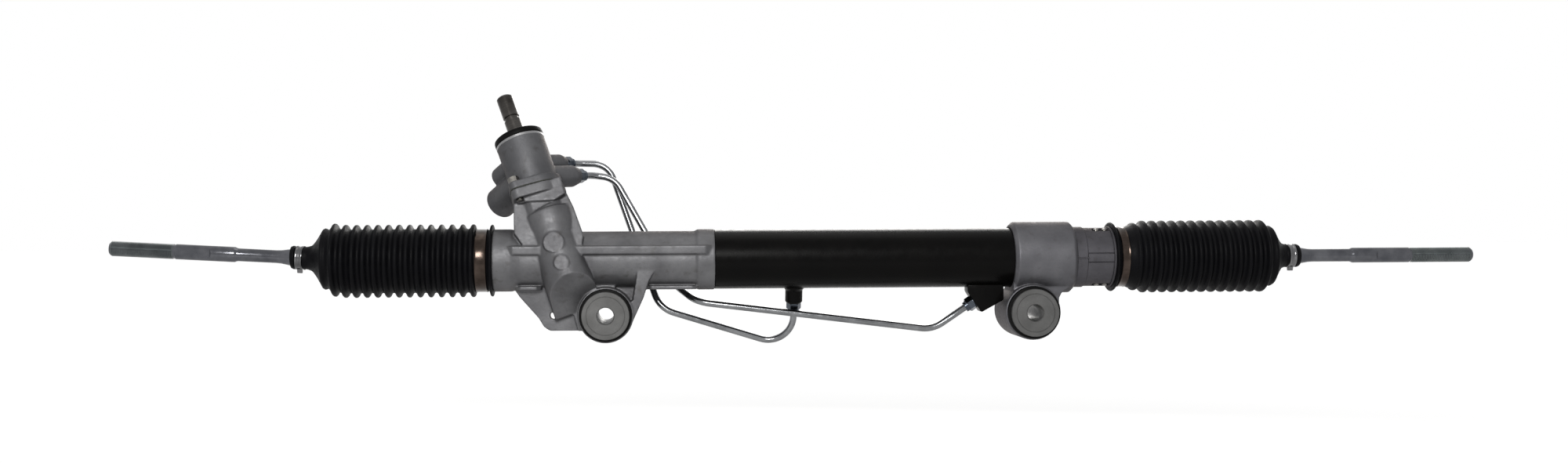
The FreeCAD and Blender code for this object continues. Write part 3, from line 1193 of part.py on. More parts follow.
def bellows(face, outward, ball, rod_axis, seat_radius, lip_radius, folds, cuff_length):
    """Bellows from the housing's cuff seat to the tie rod's clip seat."""
    first_peak, pitch, count = folds
    origin = Vec(face, 0, RACK_HEIGHT)
    axis = X_AXIS * outward
    cuff = seat_radius + CUFF_THICKNESS
    outside = [(lip_radius, 0), (lip_radius, LIP_WIDTH), (cuff, LIP_WIDTH)]
    outside += fold_profile(first_peak, pitch, count, cuff_length, cuff)
    last = first_peak + pitch * (count - 1)
    shoulder = last + pitch * 0.40 + BELLOWS_SHOULDER
    end_radius = VALLEY_RADIUS - 4.0
    outside.append((end_radius, shoulder))
    folds_start = outside[4][1] + BELLOWS_WALL
    inside = [(seat_radius, cuff_length + BELLOWS_WALL), (PEAK_RADIUS - BELLOWS_WALL, folds_start)]
    inside += [(radius - BELLOWS_WALL, along) for radius, along in outside[5:]]
    outline = [(seat_radius, 0)] + outside + inside[::-1]
    main = turned(outline, origin, axis)
    along_rod = CLIP_SEAT_START + 1.0
    neck = ball + rod_axis * along_rod
    shoulder_point = origin + axis * shoulder
    solids = []
    for inset in (0.0, 1.0):
        wide = Part.Wire(Part.makeCircle(end_radius - inset * BELLOWS_WALL, shoulder_point, axis))
        small = CLIP_SEAT_RADIUS + RUNNING_FIT + SMALL_CUFF_THICKNESS * (1.0 - inset)
        narrow = Part.Wire(Part.makeCircle(small, neck, rod_axis))
        solids.append(Part.makeLoft([wide, narrow], True, True))
    cone = solids[0].cut(solids[1])
    small_cuff = ring(ball, rod_axis, along_rod, FLARE_START - 0.6,
                      CLIP_SEAT_RADIUS + RUNNING_FIT + SMALL_CUFF_THICKNESS, CLIP_SEAT_RADIUS + RUNNING_FIT)
    return main.fuse([cone, small_cuff])


def band(face, outward, from_lip, width, seat_radius):
    """Clamp band round the bellows cuff."""
    inner = seat_radius + CUFF_THICKNESS
    centre = Vec(face, 0, RACK_HEIGHT)
    return ring(centre, X_AXIS * outward, from_lip, from_lip + width, inner + BAND_THICKNESS, inner)


def small_clip(ball, axis):
    """Narrow clip that holds the bellows on the tie rod."""
    inner = CLIP_SEAT_RADIUS + 2 * RUNNING_FIT + SMALL_CUFF_THICKNESS
    return ring(ball, axis, CLIP_FROM_BALL, CLIP_FROM_BALL + CLIP_WIDTH, inner + CLIP_THICKNESS, inner)


def bent_path(points, radii):
    """Straight runs through the points, joined by tangent arcs of the given radii."""
    edges = []
    start = points[0]
    for index in range(1, len(points) - 1):
        corner = points[index]
        back = (points[index - 1] - corner).normalize()
        ahead = (points[index + 1] - corner).normalize()
        half = back.getAngle(ahead) / 2
        tangent = radii[index - 1] / math.tan(half)
        first = corner + back * tangent
        last = corner + ahead * tangent
        bisector = (back + ahead).normalize()
        centre = corner + bisector * (radii[index - 1] / math.sin(half))
        middle = centre - bisector * radii[index - 1]
        edges.append(Part.makeLine(start, first))
        edges.append(Part.Arc(first, middle, last).toShape())
        start = last
    edges.append(Part.makeLine(start, points[-1]))
    return Part.Wire(edges)


def pipe_end(mouth, outward, run):
    """The two end points of a pipe's straight run out of a nut: inside the nut, then away from it."""
    return [mouth - outward * (NUT_INSERT - 0.5), mouth + outward * run]


def pipe(points, radii):
    """Hollow steel tube along a bent path."""
    path = bent_path(points, radii)
    direction = points[1] - points[0]
    walls = []
    for radius in (PIPE_RADIUS, PIPE_BORE):
        section = Part.Wire(Part.makeCircle(radius, points[0], direction))
        walls.append(path.makePipeShell([section], True, True))
    return walls[0].cut(walls[1])


def flare_nut(mouth, inward):
    """Flare nut: round thread in the boss and a hexagon outside it."""
    thread = ring(mouth, inward, -0.5, NUT_INSERT, NUT_RADIUS)
    head = polygon_bar(mouth, inward, -NUT_LENGTH + NUT_INSERT, 0, NUT_RADIUS + 0.4, 6)
    skirt = ring(mouth, inward, -NUT_LENGTH, -NUT_LENGTH + NUT_INSERT, NUT_RADIUS - 1.4)
    hole = ring(mouth, inward, -NUT_LENGTH - 1, NUT_INSERT + 1, PIPE_RADIUS)
    return fused([thread, head, skirt]).cut(hole)


def save_housings():
    """Castings, gasket, bolts and seals of the two housings."""
    save("gear_housing", gear_housing())
    save("valve_housing", valve_housing())
    save("valve_housing_gasket", gasket())
    save("valve_housing_bolts", flange_bolt(-1), flange_bolt(1))
    cover_top = VALVE_TOP + DUST_COVER_RIM
    cover = turned([(SHAFT_RADIUS + 2 * RUNNING_FIT, VALVE_TOP), (DUST_COVER_RADIUS, VALVE_TOP),
                    (DUST_COVER_RADIUS, cover_top - 1.0), (DUST_COVER_RADIUS - 1.5, cover_top),
                    (SHAFT_RADIUS + 2.5, cover_top + DUST_COVER_DOME),
                    (SHAFT_RADIUS + 2 * RUNNING_FIT, cover_top + DUST_COVER_DOME)],
                   PINION_ORIGIN, PINION_AXIS)
    save("dust_cover", cover)
    save("input_shaft_seal", lip_seal(PINION_ORIGIN, PINION_AXIS, SHAFT_SEAL_BASE, SHAFT_SEAL_LENGTH,
                                      SHAFT_SEAL_RADIUS, SHAFT_RADIUS))
    save("seal_retaining_ring", pinion_ring(SEAL_RING_BASE, SEAL_RING_BASE + SEAL_RING_THICKNESS,
                                            SEAL_RING_GROOVE, SEAL_RING_GROOVE - 3.0))
    shaft_bearing = ball_bearing(SHAFT_BEARING_BASE, SHAFT_BEARING_LENGTH, SHAFT_BEARING_RADIUS,
                                 SHAFT_RADIUS + RUNNING_FIT, 1.6)
    save("input_shaft_bearing", *shaft_bearing)


def save_pinion_group():
    """Pinion, its bearings and seal, valve parts, torsion bar and input shaft."""
    save("pinion", pinion())
    save("pinion_lower_bearing", *needle_bearing())
    upper_bearing = ball_bearing(UPPER_BEARING_BASE, UPPER_BEARING_LENGTH, VALVE_CAVITY_RADIUS,
                                 PINION_SHANK_RADIUS + RUNNING_FIT, UPPER_BEARING_BALL)
    save("pinion_upper_bearing", *upper_bearing)
    bearing_top = UPPER_BEARING_BASE + UPPER_BEARING_LENGTH
    save("pinion_bearing_retainer", pinion_ring(bearing_top, bearing_top + RETAINER_LENGTH,
                                                VALVE_CAVITY_RADIUS, VALVE_CAVITY_RADIUS - RETAINER_WIDTH))
    save("pinion_seal", lip_seal(PINION_ORIGIN, PINION_AXIS, PINION_SEAL_BASE, PINION_SEAL_LENGTH,
                                 PINION_SEAL_RADIUS, PINION_SHANK_RADIUS))
    save("valve_sleeve", valve_sleeve())
    save("valve_sleeve_rings", *valve_rings())
    save("torsion_bar", torsion_bar())
    lower_level = PINION_CUP_BASE + 2.0 + TORSION_HEAD_LENGTH / 2
    save("torsion_bar_lower_pin", cross_pin(lower_level, PINION_CUP_RADIUS - 0.5))
    save("input_shaft", input_shaft())
    upper_level = INPUT_SHAFT_TIP - 2.0 - TORSION_HEAD_LENGTH / 2
    save("torsion_bar_upper_pin", cross_pin(upper_level, SPLINE_RADIUS - 0.5))


def save_guide_group():
    """Rack guide with liner, spring, cap and lock nut."""
    body, liner = rack_guide()
    save("rack_guide", body)
    save("rack_guide_liner", liner)
    save("rack_guide_spring", guide_spring())
    save("rack_guide_cap", guide_cap())
    save("rack_guide_lock_nut", guide_lock_nut())


def save_cylinder_group():
    """Cylinder tube, seals, piston, bracket and end housing."""
    line = Vec(0, 0, RACK_HEIGHT)
    save("cylinder_tube", cylinder_tube())
    bush_base = TUBE_LEFT - INNER_BUSH_LENGTH
    save("cylinder_inner_seal", lip_seal(line, X_AXIS, bush_base - SEAL_LENGTH, SEAL_LENGTH, SEAL_RADIUS,
                                         RACK_RADIUS))
    save("cylinder_inner_bush", rack_ring(bush_base, TUBE_LEFT, SEAL_RADIUS, RACK_RADIUS + RUNNING_FIT))
    save("cylinder_bracket", cylinder_bracket())
    save("end_housing", end_housing())
    left = TUBE_RIGHT - END_SPIGOT_LENGTH
    spigot = TUBE_BORE - RUNNING_FIT
    line = Vec(0, 0, RACK_HEIGHT)
    save("cylinder_outer_seal", lip_seal(line, X_AXIS, left, SEAL_LENGTH, SEAL_RADIUS, RACK_RADIUS))
    save("rack_bushing", rack_ring(left + SEAL_LENGTH, left + SEAL_LENGTH + RACK_BUSHING_LENGTH,
                                   RACK_BUSHING_RADIUS, RACK_RADIUS + RUNNING_FIT))
    save("end_housing_o_ring", rack_ring(left + 3.0, left + 3.0 + O_RING_WIDTH, TUBE_BORE,
                                         spigot - O_RING_DEPTH))
    save("end_lock_ring", rack_ring(TUBE_RIGHT - LOCK_RING_WIDTH - 5.0, TUBE_RIGHT - 5.0,
                                    TUBE_BORE + LOCK_RING_DEPTH, spigot - LOCK_RING_DEPTH))
    save("rack_bar", rack_bar())
    save("piston", piston())
    save("piston_ring", piston_ring())
    save("piston_circlips", *circlips())


def save_bush_group():
    """Both mounting bushes."""
    for name, centre in (("pinion_side", Vec()), ("cylinder_side", Vec(BUSH_SPACING, 0, 0))):
        rubber, sleeve = mounting_bush(centre)
        save("bush_rubber_" + name, rubber)
        save("bush_sleeve_" + name, sleeve)


def save_tie_rod_group():
    """Sockets, seats, washers, tie rods, bellows and clips of both ends."""
    left_face = HOUSING_LEFT + CUFF_SEAT_LENGTH
    right_face = END_RIM
    left_folds = (FIRST_PEAK_LEFT, FOLD_PITCH_LEFT, FOLD_COUNT_LEFT)
    right_folds = (FIRST_PEAK_RIGHT, FOLD_PITCH_RIGHT, FOLD_COUNT_RIGHT)
    ends = (("pinion_side", -1, LEFT_BALL, LEFT_ROD_AXIS, RACK_LEFT, left_face, CUFF_SEAT_RADIUS_LEFT,
             LIP_RADIUS_LEFT, left_folds, BAND_FROM_LIP_LEFT, BAND_WIDTH_LEFT),
            ("cylinder_side", 1, RIGHT_BALL, X_AXIS, RACK_RIGHT, right_face, CUFF_SEAT_RADIUS_RIGHT,
             LIP_RADIUS_RIGHT, right_folds, BAND_FROM_LIP_RIGHT, BAND_WIDTH_RIGHT))
    for name, outward, ball, rod_axis, rack_end, face, seat, lip, folds, from_lip, width in ends:
        save("ball_socket_" + name, ball_socket(ball, X_AXIS * outward))
        save("claw_washer_" + name, claw_washer(rack_end, outward))
        save("ball_seat_" + name, ball_seat(ball, rod_axis))
        save("tie_rod_" + name, tie_rod(ball, rod_axis))
        cuff_length = from_lip + width + CUFF_PAST_BAND
        save("bellows_" + name, bellows(face, outward, ball, rod_axis, seat, lip, folds, cuff_length))
        save("bellows_band_" + name, band(face, outward, from_lip, width, seat))
        save("bellows_clip_" + name, small_clip(ball, rod_axis))


def save_pipe_group():
    """Transfer tubes and their flare nuts."""
    along = valve_direction()
    near_mouth = pinion_point(NEAR_BOSS_LEVEL, TUBE_BOSS_REACH, NEAR_BOSS_OFFSET)
    far_mouth = pinion_point(FAR_BOSS_LEVEL, TUBE_BOSS_REACH, FAR_BOSS_OFFSET)
    port_a_mouth = Vec(PORT_A_X, 0, RACK_HEIGHT) + radial_down() * PORT_A_BOSS_REACH
    near_route = (pipe_end(far_mouth, along, FAR_MOUTH_RUN) + [Vec(*point) for point in NEAR_PORT_ROUTE]
                  + pipe_end(port_a_mouth, radial_down(), PORT_A_RUN)[::-1])
    far_route = (pipe_end(near_mouth, along, NEAR_MOUTH_RUN) + [Vec(*point) for point in FAR_PORT_ROUTE]
                 + pipe_end(port_b_mouth(), port_b_direction() * -1, PORT_B_RUN)[::-1])
    save("transfer_tube_near_port", pipe(near_route, NEAR_PORT_BENDS))
    save("transfer_tube_far_port", pipe(far_route, FAR_PORT_BENDS))
    save("valve_port_nuts", flare_nut(near_mouth, along * -1), flare_nut(far_mouth, along * -1))
    save("cylinder_port_nuts", flare_nut(port_a_mouth, radial_down() * -1),
         flare_nut(port_b_mouth(), port_b_direction()))


os.makedirs("parts", exist_ok=True)
save_housings()
save_pinion_group()
save_guide_group()
save_cylinder_group()
save_bush_group()
save_tie_rod_group()
save_pipe_group()
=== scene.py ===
"""Hydraulic steering rack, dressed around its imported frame."""
import json
import logging
import math
from dataclasses import dataclass
from enum import Enum
from typing import Iterable, Sequence

import bpy
from mathutils import Matrix, Vector


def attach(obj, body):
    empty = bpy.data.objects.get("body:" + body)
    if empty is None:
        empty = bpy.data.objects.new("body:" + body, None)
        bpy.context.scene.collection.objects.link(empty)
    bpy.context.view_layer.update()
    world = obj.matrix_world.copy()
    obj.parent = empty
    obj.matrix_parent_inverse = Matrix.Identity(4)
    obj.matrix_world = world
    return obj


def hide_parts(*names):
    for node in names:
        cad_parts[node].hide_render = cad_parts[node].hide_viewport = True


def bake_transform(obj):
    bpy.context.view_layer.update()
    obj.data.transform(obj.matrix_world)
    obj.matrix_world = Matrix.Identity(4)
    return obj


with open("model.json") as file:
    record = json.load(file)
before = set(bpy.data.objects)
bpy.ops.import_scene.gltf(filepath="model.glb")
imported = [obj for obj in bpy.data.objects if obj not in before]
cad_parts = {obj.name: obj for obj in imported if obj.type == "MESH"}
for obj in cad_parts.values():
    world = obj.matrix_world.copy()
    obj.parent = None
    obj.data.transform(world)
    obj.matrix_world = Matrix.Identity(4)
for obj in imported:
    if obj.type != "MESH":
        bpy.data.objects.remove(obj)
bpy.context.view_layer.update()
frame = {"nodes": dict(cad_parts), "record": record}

LOG = logging.getLogger("steering_rack")
MM = 0.001
IMAGE_SIZE = (2000, 591)
MOST_TRIANGLES = 180000
Colour = tuple[float, float, float]
Profile = Sequence[tuple[float, float]]
Item = bpy.types.Object
Socket = bpy.types.NodeSocket
X_AXIS = Vector((1, 0, 0))
Y_AXIS = Vector((0, 1, 0))
Z_AXIS = Vector((0, 0, 1))
# Distances below which vertices are merged, in metres
WELD_TURNED = 0.000002
WELD_COPIED = 0.000005
WELD_THREAD = 0.000001


class Body(Enum):
    """The moving bodies of the frame that pieces ride on."""

    HOUSING = "housing"
    RACK = "rack"
    SEAT_PINION = "ball_seat_pinion_side"
    ROD_PINION = "tie_rod_pinion_side"
    SEAT_CYLINDER = "ball_seat_cylinder_side"
    ROD_CYLINDER = "tie_rod_cylinder_side"


@dataclass(frozen=True)
class Line:
    """A directed line in the row frame, in mm, that round pieces are turned about."""

    origin: Vector
    direction: Vector
    side: Vector

    def matrix(self) -> Matrix:
        """Local X runs along the line and local Z towards its side; metres."""
        along = self.direction.normalized()
        up = (self.side - along * self.side.dot(along)).normalized()
        across = up.cross(along)
        turn = Matrix((along, across, up)).transposed().to_4x4()
        return Matrix.Translation(self.origin * MM) @ turn

    def at(self, along: float, across: Vector = Vector()) -> Vector:
        """Point on the line, or beside it.

        Args:
            along: Distance from the origin, in mm.
            across: Offset from the line, in mm.

        Returns:
            The point in the row frame, in mm.
        """
        return self.origin + self.direction * along + across


# The frame's own lines and stations, in mm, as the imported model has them
LEAN = math.radians(20.0)
TILT = math.radians(19.0)
TOOTH_LINE = Vector((0, math.sin(LEAN), math.cos(LEAN)))
TO_PINION = Vector((0, -math.cos(LEAN), math.sin(LEAN)))
PINION_AXIS = TOOTH_LINE * math.cos(TILT) - X_AXIS * math.sin(TILT)
PINION_RIGHT = X_AXIS * math.cos(TILT) + TOOTH_LINE * math.sin(TILT)
PINION_ORIGIN = Vector((-40.5, -14.474, 53.268))
RACK_LEVEL = 48.0
RACK_LINE = Line(Vector((0, 0, RACK_LEVEL)), X_AXIS, Z_AXIS)
PINION_LINE = Line(PINION_ORIGIN, PINION_AXIS, TO_PINION)
ROD_RISE = math.radians(3.2)
LEFT_BALL = Vector((-206.5, 0, RACK_LEVEL))
RIGHT_BALL = Vector((553.4, 0, RACK_LEVEL))
LEFT_ROD_LINE = Line(LEFT_BALL, Vector((-math.cos(ROD_RISE), 0, math.sin(ROD_RISE))), Z_AXIS)
RIGHT_ROD_LINE = Line(RIGHT_BALL, X_AXIS, Z_AXIS)
BOSS_TURN = math.radians(38.0)
BOLT_TURN = math.radians(50.0)
BOSS_DIRECTION = PINION_RIGHT * math.cos(BOSS_TURN) - TO_PINION * math.sin(BOSS_TURN)
BOSS_CROSS = PINION_RIGHT * math.sin(BOSS_TURN) + TO_PINION * math.cos(BOSS_TURN)
BOLT_DIRECTION = PINION_RIGHT * math.cos(BOLT_TURN) - TO_PINION * math.sin(BOLT_TURN)
PORT_A_LEAN = math.radians(14.0)
PORT_A_DOWN = Vector((0, math.sin(PORT_A_LEAN), -math.cos(PORT_A_LEAN)))
PORT_B_SLOPE = math.radians(34.0)
PORT_B_IN = Vector((math.cos(PORT_B_SLOPE), 0, math.sin(PORT_B_SLOPE)))
PORT_A_ROOT = Vector((168.5, 0, RACK_LEVEL))
PORT_A_MOUTH = PORT_A_ROOT + PORT_A_DOWN * 40.5
PORT_B_MOUTH = Vector((339.9, -4.0, 16.4)) - PORT_B_IN * 14.0
PORT_B_BLOCK_RIGHT = 354.4
PORT_B_FACE_HALF = 11.0
VALVE_TOP = 113.5
LEFT_FACE = -99.5
COLLAR_START = 82.0
COLLAR_END = 96.7
TUBE_RIGHT = 417.4
END_STEP = 427.0
END_RIM = 452.4
END_RIGHT = 469.9
BUSH_SPACING = 378.0


class Sheet:
    """One material's node tree, with short calls for the nodes that every finish uses."""

    def __init__(self, name: str) -> None:
        """Start a material with a fresh Principled shader."""
        self.material = bpy.data.materials.new(name)
        self.material.use_nodes = True
        self.tree = self.material.node_tree
        self.shader = self.tree.nodes["Principled BSDF"]
        self.coordinates = self.tree.nodes.new("ShaderNodeTexCoord").outputs["Object"]

    def fill(self, node: bpy.types.Node, inputs: dict[str, object]) -> None:
        """Fill a node's inputs: values are set, sockets are linked."""
        for key, value in inputs.items():
            socket = node.inputs[key.replace("_", " ")]
            if isinstance(value, Socket):
                self.tree.links.new(value, socket)
            else:
                socket.default_value = value

    def add(self, kind: str, **inputs: object) -> bpy.types.Node:
        """Add a node and fill its inputs."""
        node = self.tree.nodes.new(kind)
        self.fill(node, inputs)
        return node

    def noise(self, scale: float, detail: float = 4.0, stretch: Vector | None = None) -> Socket:
        """Noise on the piece's own coordinates.

        Args:
            scale: Features per metre.
            detail: Octaves of finer noise.
            stretch: Direction along which the noise changes quickly; along the others it hardly changes.

        Returns:
            The noise value's socket, from 0 to 1.
        """
        node = self.add("ShaderNodeTexNoise", Scale=scale, Detail=detail)
        if stretch is None:
            self.tree.links.new(self.coordinates, node.inputs["Vector"])
            return node.outputs["Fac"]
        along = self.add("ShaderNodeVectorMath")
        along.operation = "DOT_PRODUCT"
        self.tree.links.new(self.coordinates, along.inputs[0])
        along.inputs[1].default_value = stretch.normalized()
        node.noise_dimensions = "1D"
        self.tree.links.new(along.outputs["Value"], node.inputs["W"])
        return node.outputs["Fac"]

    def spread(self, value: Socket, low: float, high: float,
               start: float = 0.3, end: float = 0.7) -> Socket:
        """Map a value from start..end to low..high, clamped."""
        node = self.add("ShaderNodeMapRange", Value=value, From_Min=start, From_Max=end, To_Min=low,
                        To_Max=high)
        return node.outputs["Result"]

    def blend(self, factor: Socket, first: Colour | Socket,
              second: Colour) -> Socket:
        """Mix two colours by a factor."""
        node = self.tree.nodes.new("ShaderNodeMix")
        node.data_type = "RGBA"
        self.tree.links.new(factor, node.inputs[0])
        for socket, colour in ((node.inputs[6], first), (node.inputs[7], second)):
            if isinstance(colour, Socket):
                self.tree.links.new(colour, socket)
            else:
                socket.default_value = (*colour, 1.0)
        return node.outputs[2]

    def bump(self, height: Socket, depth: float, strength: float = 1.0,
             under: Socket | None = None) -> Socket:
        """Bump of a given depth in metres on the shader's normal."""
        node = self.add("ShaderNodeBump", Height=height, Distance=depth, Strength=strength)
        if under is not None:
            self.tree.links.new(under, node.inputs["Normal"])
        self.tree.links.new(node.outputs["Normal"], self.shader.inputs["Normal"])
        return node.outputs["Normal"]

    def set(self, **inputs: object) -> None:
        """Set or link the shader's own sockets."""
        self.fill(self.shader, inputs)


@dataclass(frozen=True)
class SandCast:
    """Cast aluminium: matt grain, cloudy tone and a few darker stains."""

    name: str
    light: Colour
    dark: Colour
    stain: Colour
    metallic: float = 0.6
    roughness: tuple[float, float] = (0.42, 0.56)
    # Edge tint: grazing reflections tinted dark brown, a painted reflection of a dark brown room.
    edge: Colour = (0.35, 0.32, 0.3)
    grain: float = 2600.0
    grain_depth: float = 0.00012

    def make(self) -> bpy.types.Material:
        """Build the material."""
        sheet = Sheet(self.name)
        cloud = sheet.spread(sheet.noise(38.0, 5.0), 0.0, 1.0, 0.32, 0.68)
        colour = sheet.blend(cloud, self.light, self.dark)
        stains = sheet.spread(sheet.noise(120.0, 6.0), 0.0, 0.55, 0.58, 0.75)
        colour = sheet.blend(stains, colour, self.stain)
        specks = sheet.spread(sheet.noise(self.grain, 2.0), 0.0, 0.35, 0.45, 0.7)
        colour = sheet.blend(specks, colour, self.dark)
        # The specular tint paints a dark brown reflection on grazing edges.
        sheet.set(Base_Color=colour, Metallic=self.metallic, Specular_IOR_Level=0.25,
                  Specular_Tint=(*self.edge, 1.0),
                  Roughness=sheet.spread(sheet.noise(300.0, 3.0), *self.roughness))
        skin = sheet.bump(sheet.noise(420.0, 4.0), 0.00025, 0.5)
        sheet.bump(sheet.noise(self.grain, 3.0), self.grain_depth, 0.8, skin)
        return sheet.material


@dataclass(frozen=True)
class Machined:
    """Turned, ground or drawn metal: fine lines along one direction over a slightly cloudy tone."""

    name: str
    light: Colour
    dark: Colour
    lines: Vector | None = None
    line_scale: float = 900.0
    line_depth: float = 0.00002
    metallic: float = 1.0
    roughness: tuple[float, float] = (0.22, 0.38)

    def make(self) -> bpy.types.Material:
        """Build the material."""
        sheet = Sheet(self.name)
        cloud = sheet.spread(sheet.noise(70.0, 5.0), 0.0, 1.0)
        streak = sheet.noise(self.line_scale, 3.0, self.lines)
        tone = sheet.blend(cloud, self.light, self.dark)
        tone = sheet.blend(sheet.spread(streak, 0.0, 0.35, 0.45, 0.7), tone, self.dark)
        sheet.set(Base_Color=tone, Metallic=self.metallic,
                  Roughness=sheet.spread(sheet.noise(240.0, 4.0), *self.roughness))
        sheet.bump(streak, self.line_depth, 0.7)
        return sheet.material


@dataclass(frozen=True)
class Paint:
    """Satin paint: slight orange peel, dust specks and rubbed places."""

    name: str
    colour: Colour
    dust: Colour
    roughness: tuple[float, float] = (0.24, 0.36)
    specular: float = 0.05

    def make(self) -> bpy.types.Material:
        """Build the material."""
        sheet = Sheet(self.name)
        dust = sheet.spread(sheet.noise(900.0, 4.0), 0.0, 0.5, 0.66, 0.8)
        film = sheet.spread(sheet.noise(30.0, 5.0), 0.0, 0.25)
        colour = sheet.blend(film, self.colour, self.dust)
        colour = sheet.blend(dust, colour, self.dust)
        sheet.set(Base_Color=colour, Roughness=sheet.spread(sheet.noise(150.0, 4.0), *self.roughness),
                  Specular_IOR_Level=self.specular)
        sheet.bump(sheet.noise(700.0, 3.0), 0.00008, 0.5)
        return sheet.material


@dataclass(frozen=True)
class Rubber:
    """Moulded rubber: matt, with a bloom and a very fine grain."""

    name: str
    colour: Colour
    bloom: Colour
    roughness: tuple[float, float] = (0.42, 0.58)
    grain_depth: float = 0.00006
    specular: float = 0.05

    def make(self) -> bpy.types.Material:
        """Build the material."""
        sheet = Sheet(self.name)
        cloud = sheet.spread(sheet.noise(60.0, 6.0), 0.0, 0.7, 0.4, 0.75)
        colour = sheet.blend(cloud, self.colour, self.bloom)
        sheet.set(Base_Color=colour, Roughness=sheet.spread(sheet.noise(200.0, 5.0), *self.roughness),
                  Specular_IOR_Level=self.specular)
        sheet.bump(sheet.noise(1800.0, 4.0), self.grain_depth, 0.6)
        return sheet.material


class Finishes:
    """Every finish of the rack, made once."""

    def __init__(self) -> None:
        """Build all materials."""
        self.casting = SandCast("cast aluminium", (0.135, 0.136, 0.142), (0.085, 0.085, 0.09),
                                (0.055, 0.052, 0.048)).make()
        self.valve_casting = SandCast("cast valve housing", (0.105, 0.106, 0.112), (0.07, 0.071, 0.076),
                                      (0.05, 0.048, 0.047)).make()
        self.bracket_casting = SandCast("cast bracket", (0.115, 0.115, 0.124), (0.08, 0.08, 0.088),
                                        (0.06, 0.056, 0.056)).make()
        self.end_casting = SandCast("cast end housing", (0.085, 0.083, 0.092), (0.05, 0.049, 0.055),
                                    (0.035, 0.033, 0.034)).make()
        self.black_paint = Paint("satin black paint", (0.0014, 0.0013, 0.0013), (0.005, 0.0045, 0.004)).make()
        self.bellows = Rubber("bellows rubber", (0.002, 0.002, 0.0026), (0.0045, 0.0045, 0.0055)).make()
        self.bush_rubber = Rubber("bush rubber", (0.003, 0.003, 0.003), (0.007, 0.007, 0.007)).make()
        self.cap_rubber = Rubber("dust cover rubber", (0.003, 0.003, 0.003), (0.006, 0.006, 0.006)).make()
        self.bush_plate = Machined("turned bush plate", (0.10, 0.10, 0.099), (0.065, 0.065, 0.064), None,
                                   700.0,
                                   0.00003, 0.6, (0.36, 0.5)).make()
        # The strip's dark brown colour is a painted brown reflection; the steel itself is not browned.
        self.band = Machined("steel strip with painted brown reflection", (0.06, 0.046, 0.039), (0.024, 0.018, 0.015), Y_AXIS,
                             600.0,
                             0.00001, 1.0, (0.16, 0.26)).make()
        self.clip = Machined("clip steel", (0.17, 0.17, 0.175), (0.07, 0.07, 0.072), X_AXIS, 900.0,
                             0.00001, 1.0, (0.14, 0.24)).make()
        self.rod = Machined("ground rod steel", (0.115, 0.117, 0.127), (0.06, 0.062, 0.07), None, 260.0,
                            0.000006, 1.0, (0.12, 0.22)).make()
        self.thread = Machined("zinc thread", (0.115, 0.128, 0.128), (0.055, 0.064, 0.064), None, 800.0,
                               0.00002, 1.0, (0.18, 0.28)).make()
        self.shaft = Machined("dark splined steel", (0.07, 0.066, 0.062), (0.025, 0.023, 0.021), PINION_AXIS,
                              1200.0,
                              0.00002, 1.0, (0.18, 0.3)).make()
        self.zinc = Machined("bright zinc tube", (0.20, 0.205, 0.212), (0.12, 0.124, 0.13), None, 300.0,
                             0.000015, 1.0, (0.12, 0.22)).make()
        self.nut = Machined("blue zinc nut", (0.105, 0.118, 0.136), (0.045, 0.052, 0.064), None, 500.0,
                            0.00002, 1.0, (0.16, 0.28)).make()
        self.bolt = Machined("zinc bolt", (0.16, 0.155, 0.145), (0.08, 0.076, 0.07), None, 500.0,
                             0.00002, 1.0, (0.18, 0.3)).make()
        self.ground = Machined("ground inner steel", (0.6, 0.6, 0.6), (0.45, 0.45, 0.45), X_AXIS).make()
        self.turned_aluminium = Machined("turned aluminium", (0.26, 0.26, 0.265), (0.17, 0.17, 0.175),
                                         TO_PINION, 900.0,
                                         0.00003, 0.8, (0.3, 0.45)).make()
        self.bronze = Machined("sintered bronze", (0.42, 0.29, 0.14), (0.28, 0.19, 0.1)).make()
        self.plastic = Rubber("moulded plastic", (0.62, 0.58, 0.48), (0.55, 0.51, 0.42), (0.4, 0.5),
                              0.00003).make()
        self.paper = Rubber("gasket sheet", (0.06, 0.065, 0.055), (0.1, 0.1, 0.09), (0.7, 0.8)).make()
        self.seal = Rubber("seal rubber", (0.012, 0.012, 0.012), (0.025, 0.025, 0.025)).make()

    def for_slot(self, slot: str) -> bpy.types.Material:
        """The finish that an inner CAD node of one material slot takes."""
        table = {"cast_aluminium": self.casting, "valve_casting": self.valve_casting,
                 "black_tube": self.black_paint,
                 "bellows_rubber": self.bellows, "bush_rubber": self.bush_rubber, "seal_rubber": self.seal,
                 "bush_steel": self.bush_plate, "band_steel": self.band, "rod_steel": self.rod,
                 "ground_steel": self.ground, "dark_steel": self.shaft, "zinc_tube": self.zinc,
                 "zinc_fasteners": self.nut, "machined_aluminium": self.turned_aluminium,
                 "bronze": self.bronze,
                 "plastic": self.plastic, "gasket_paper": self.paper}
        return table[slot]


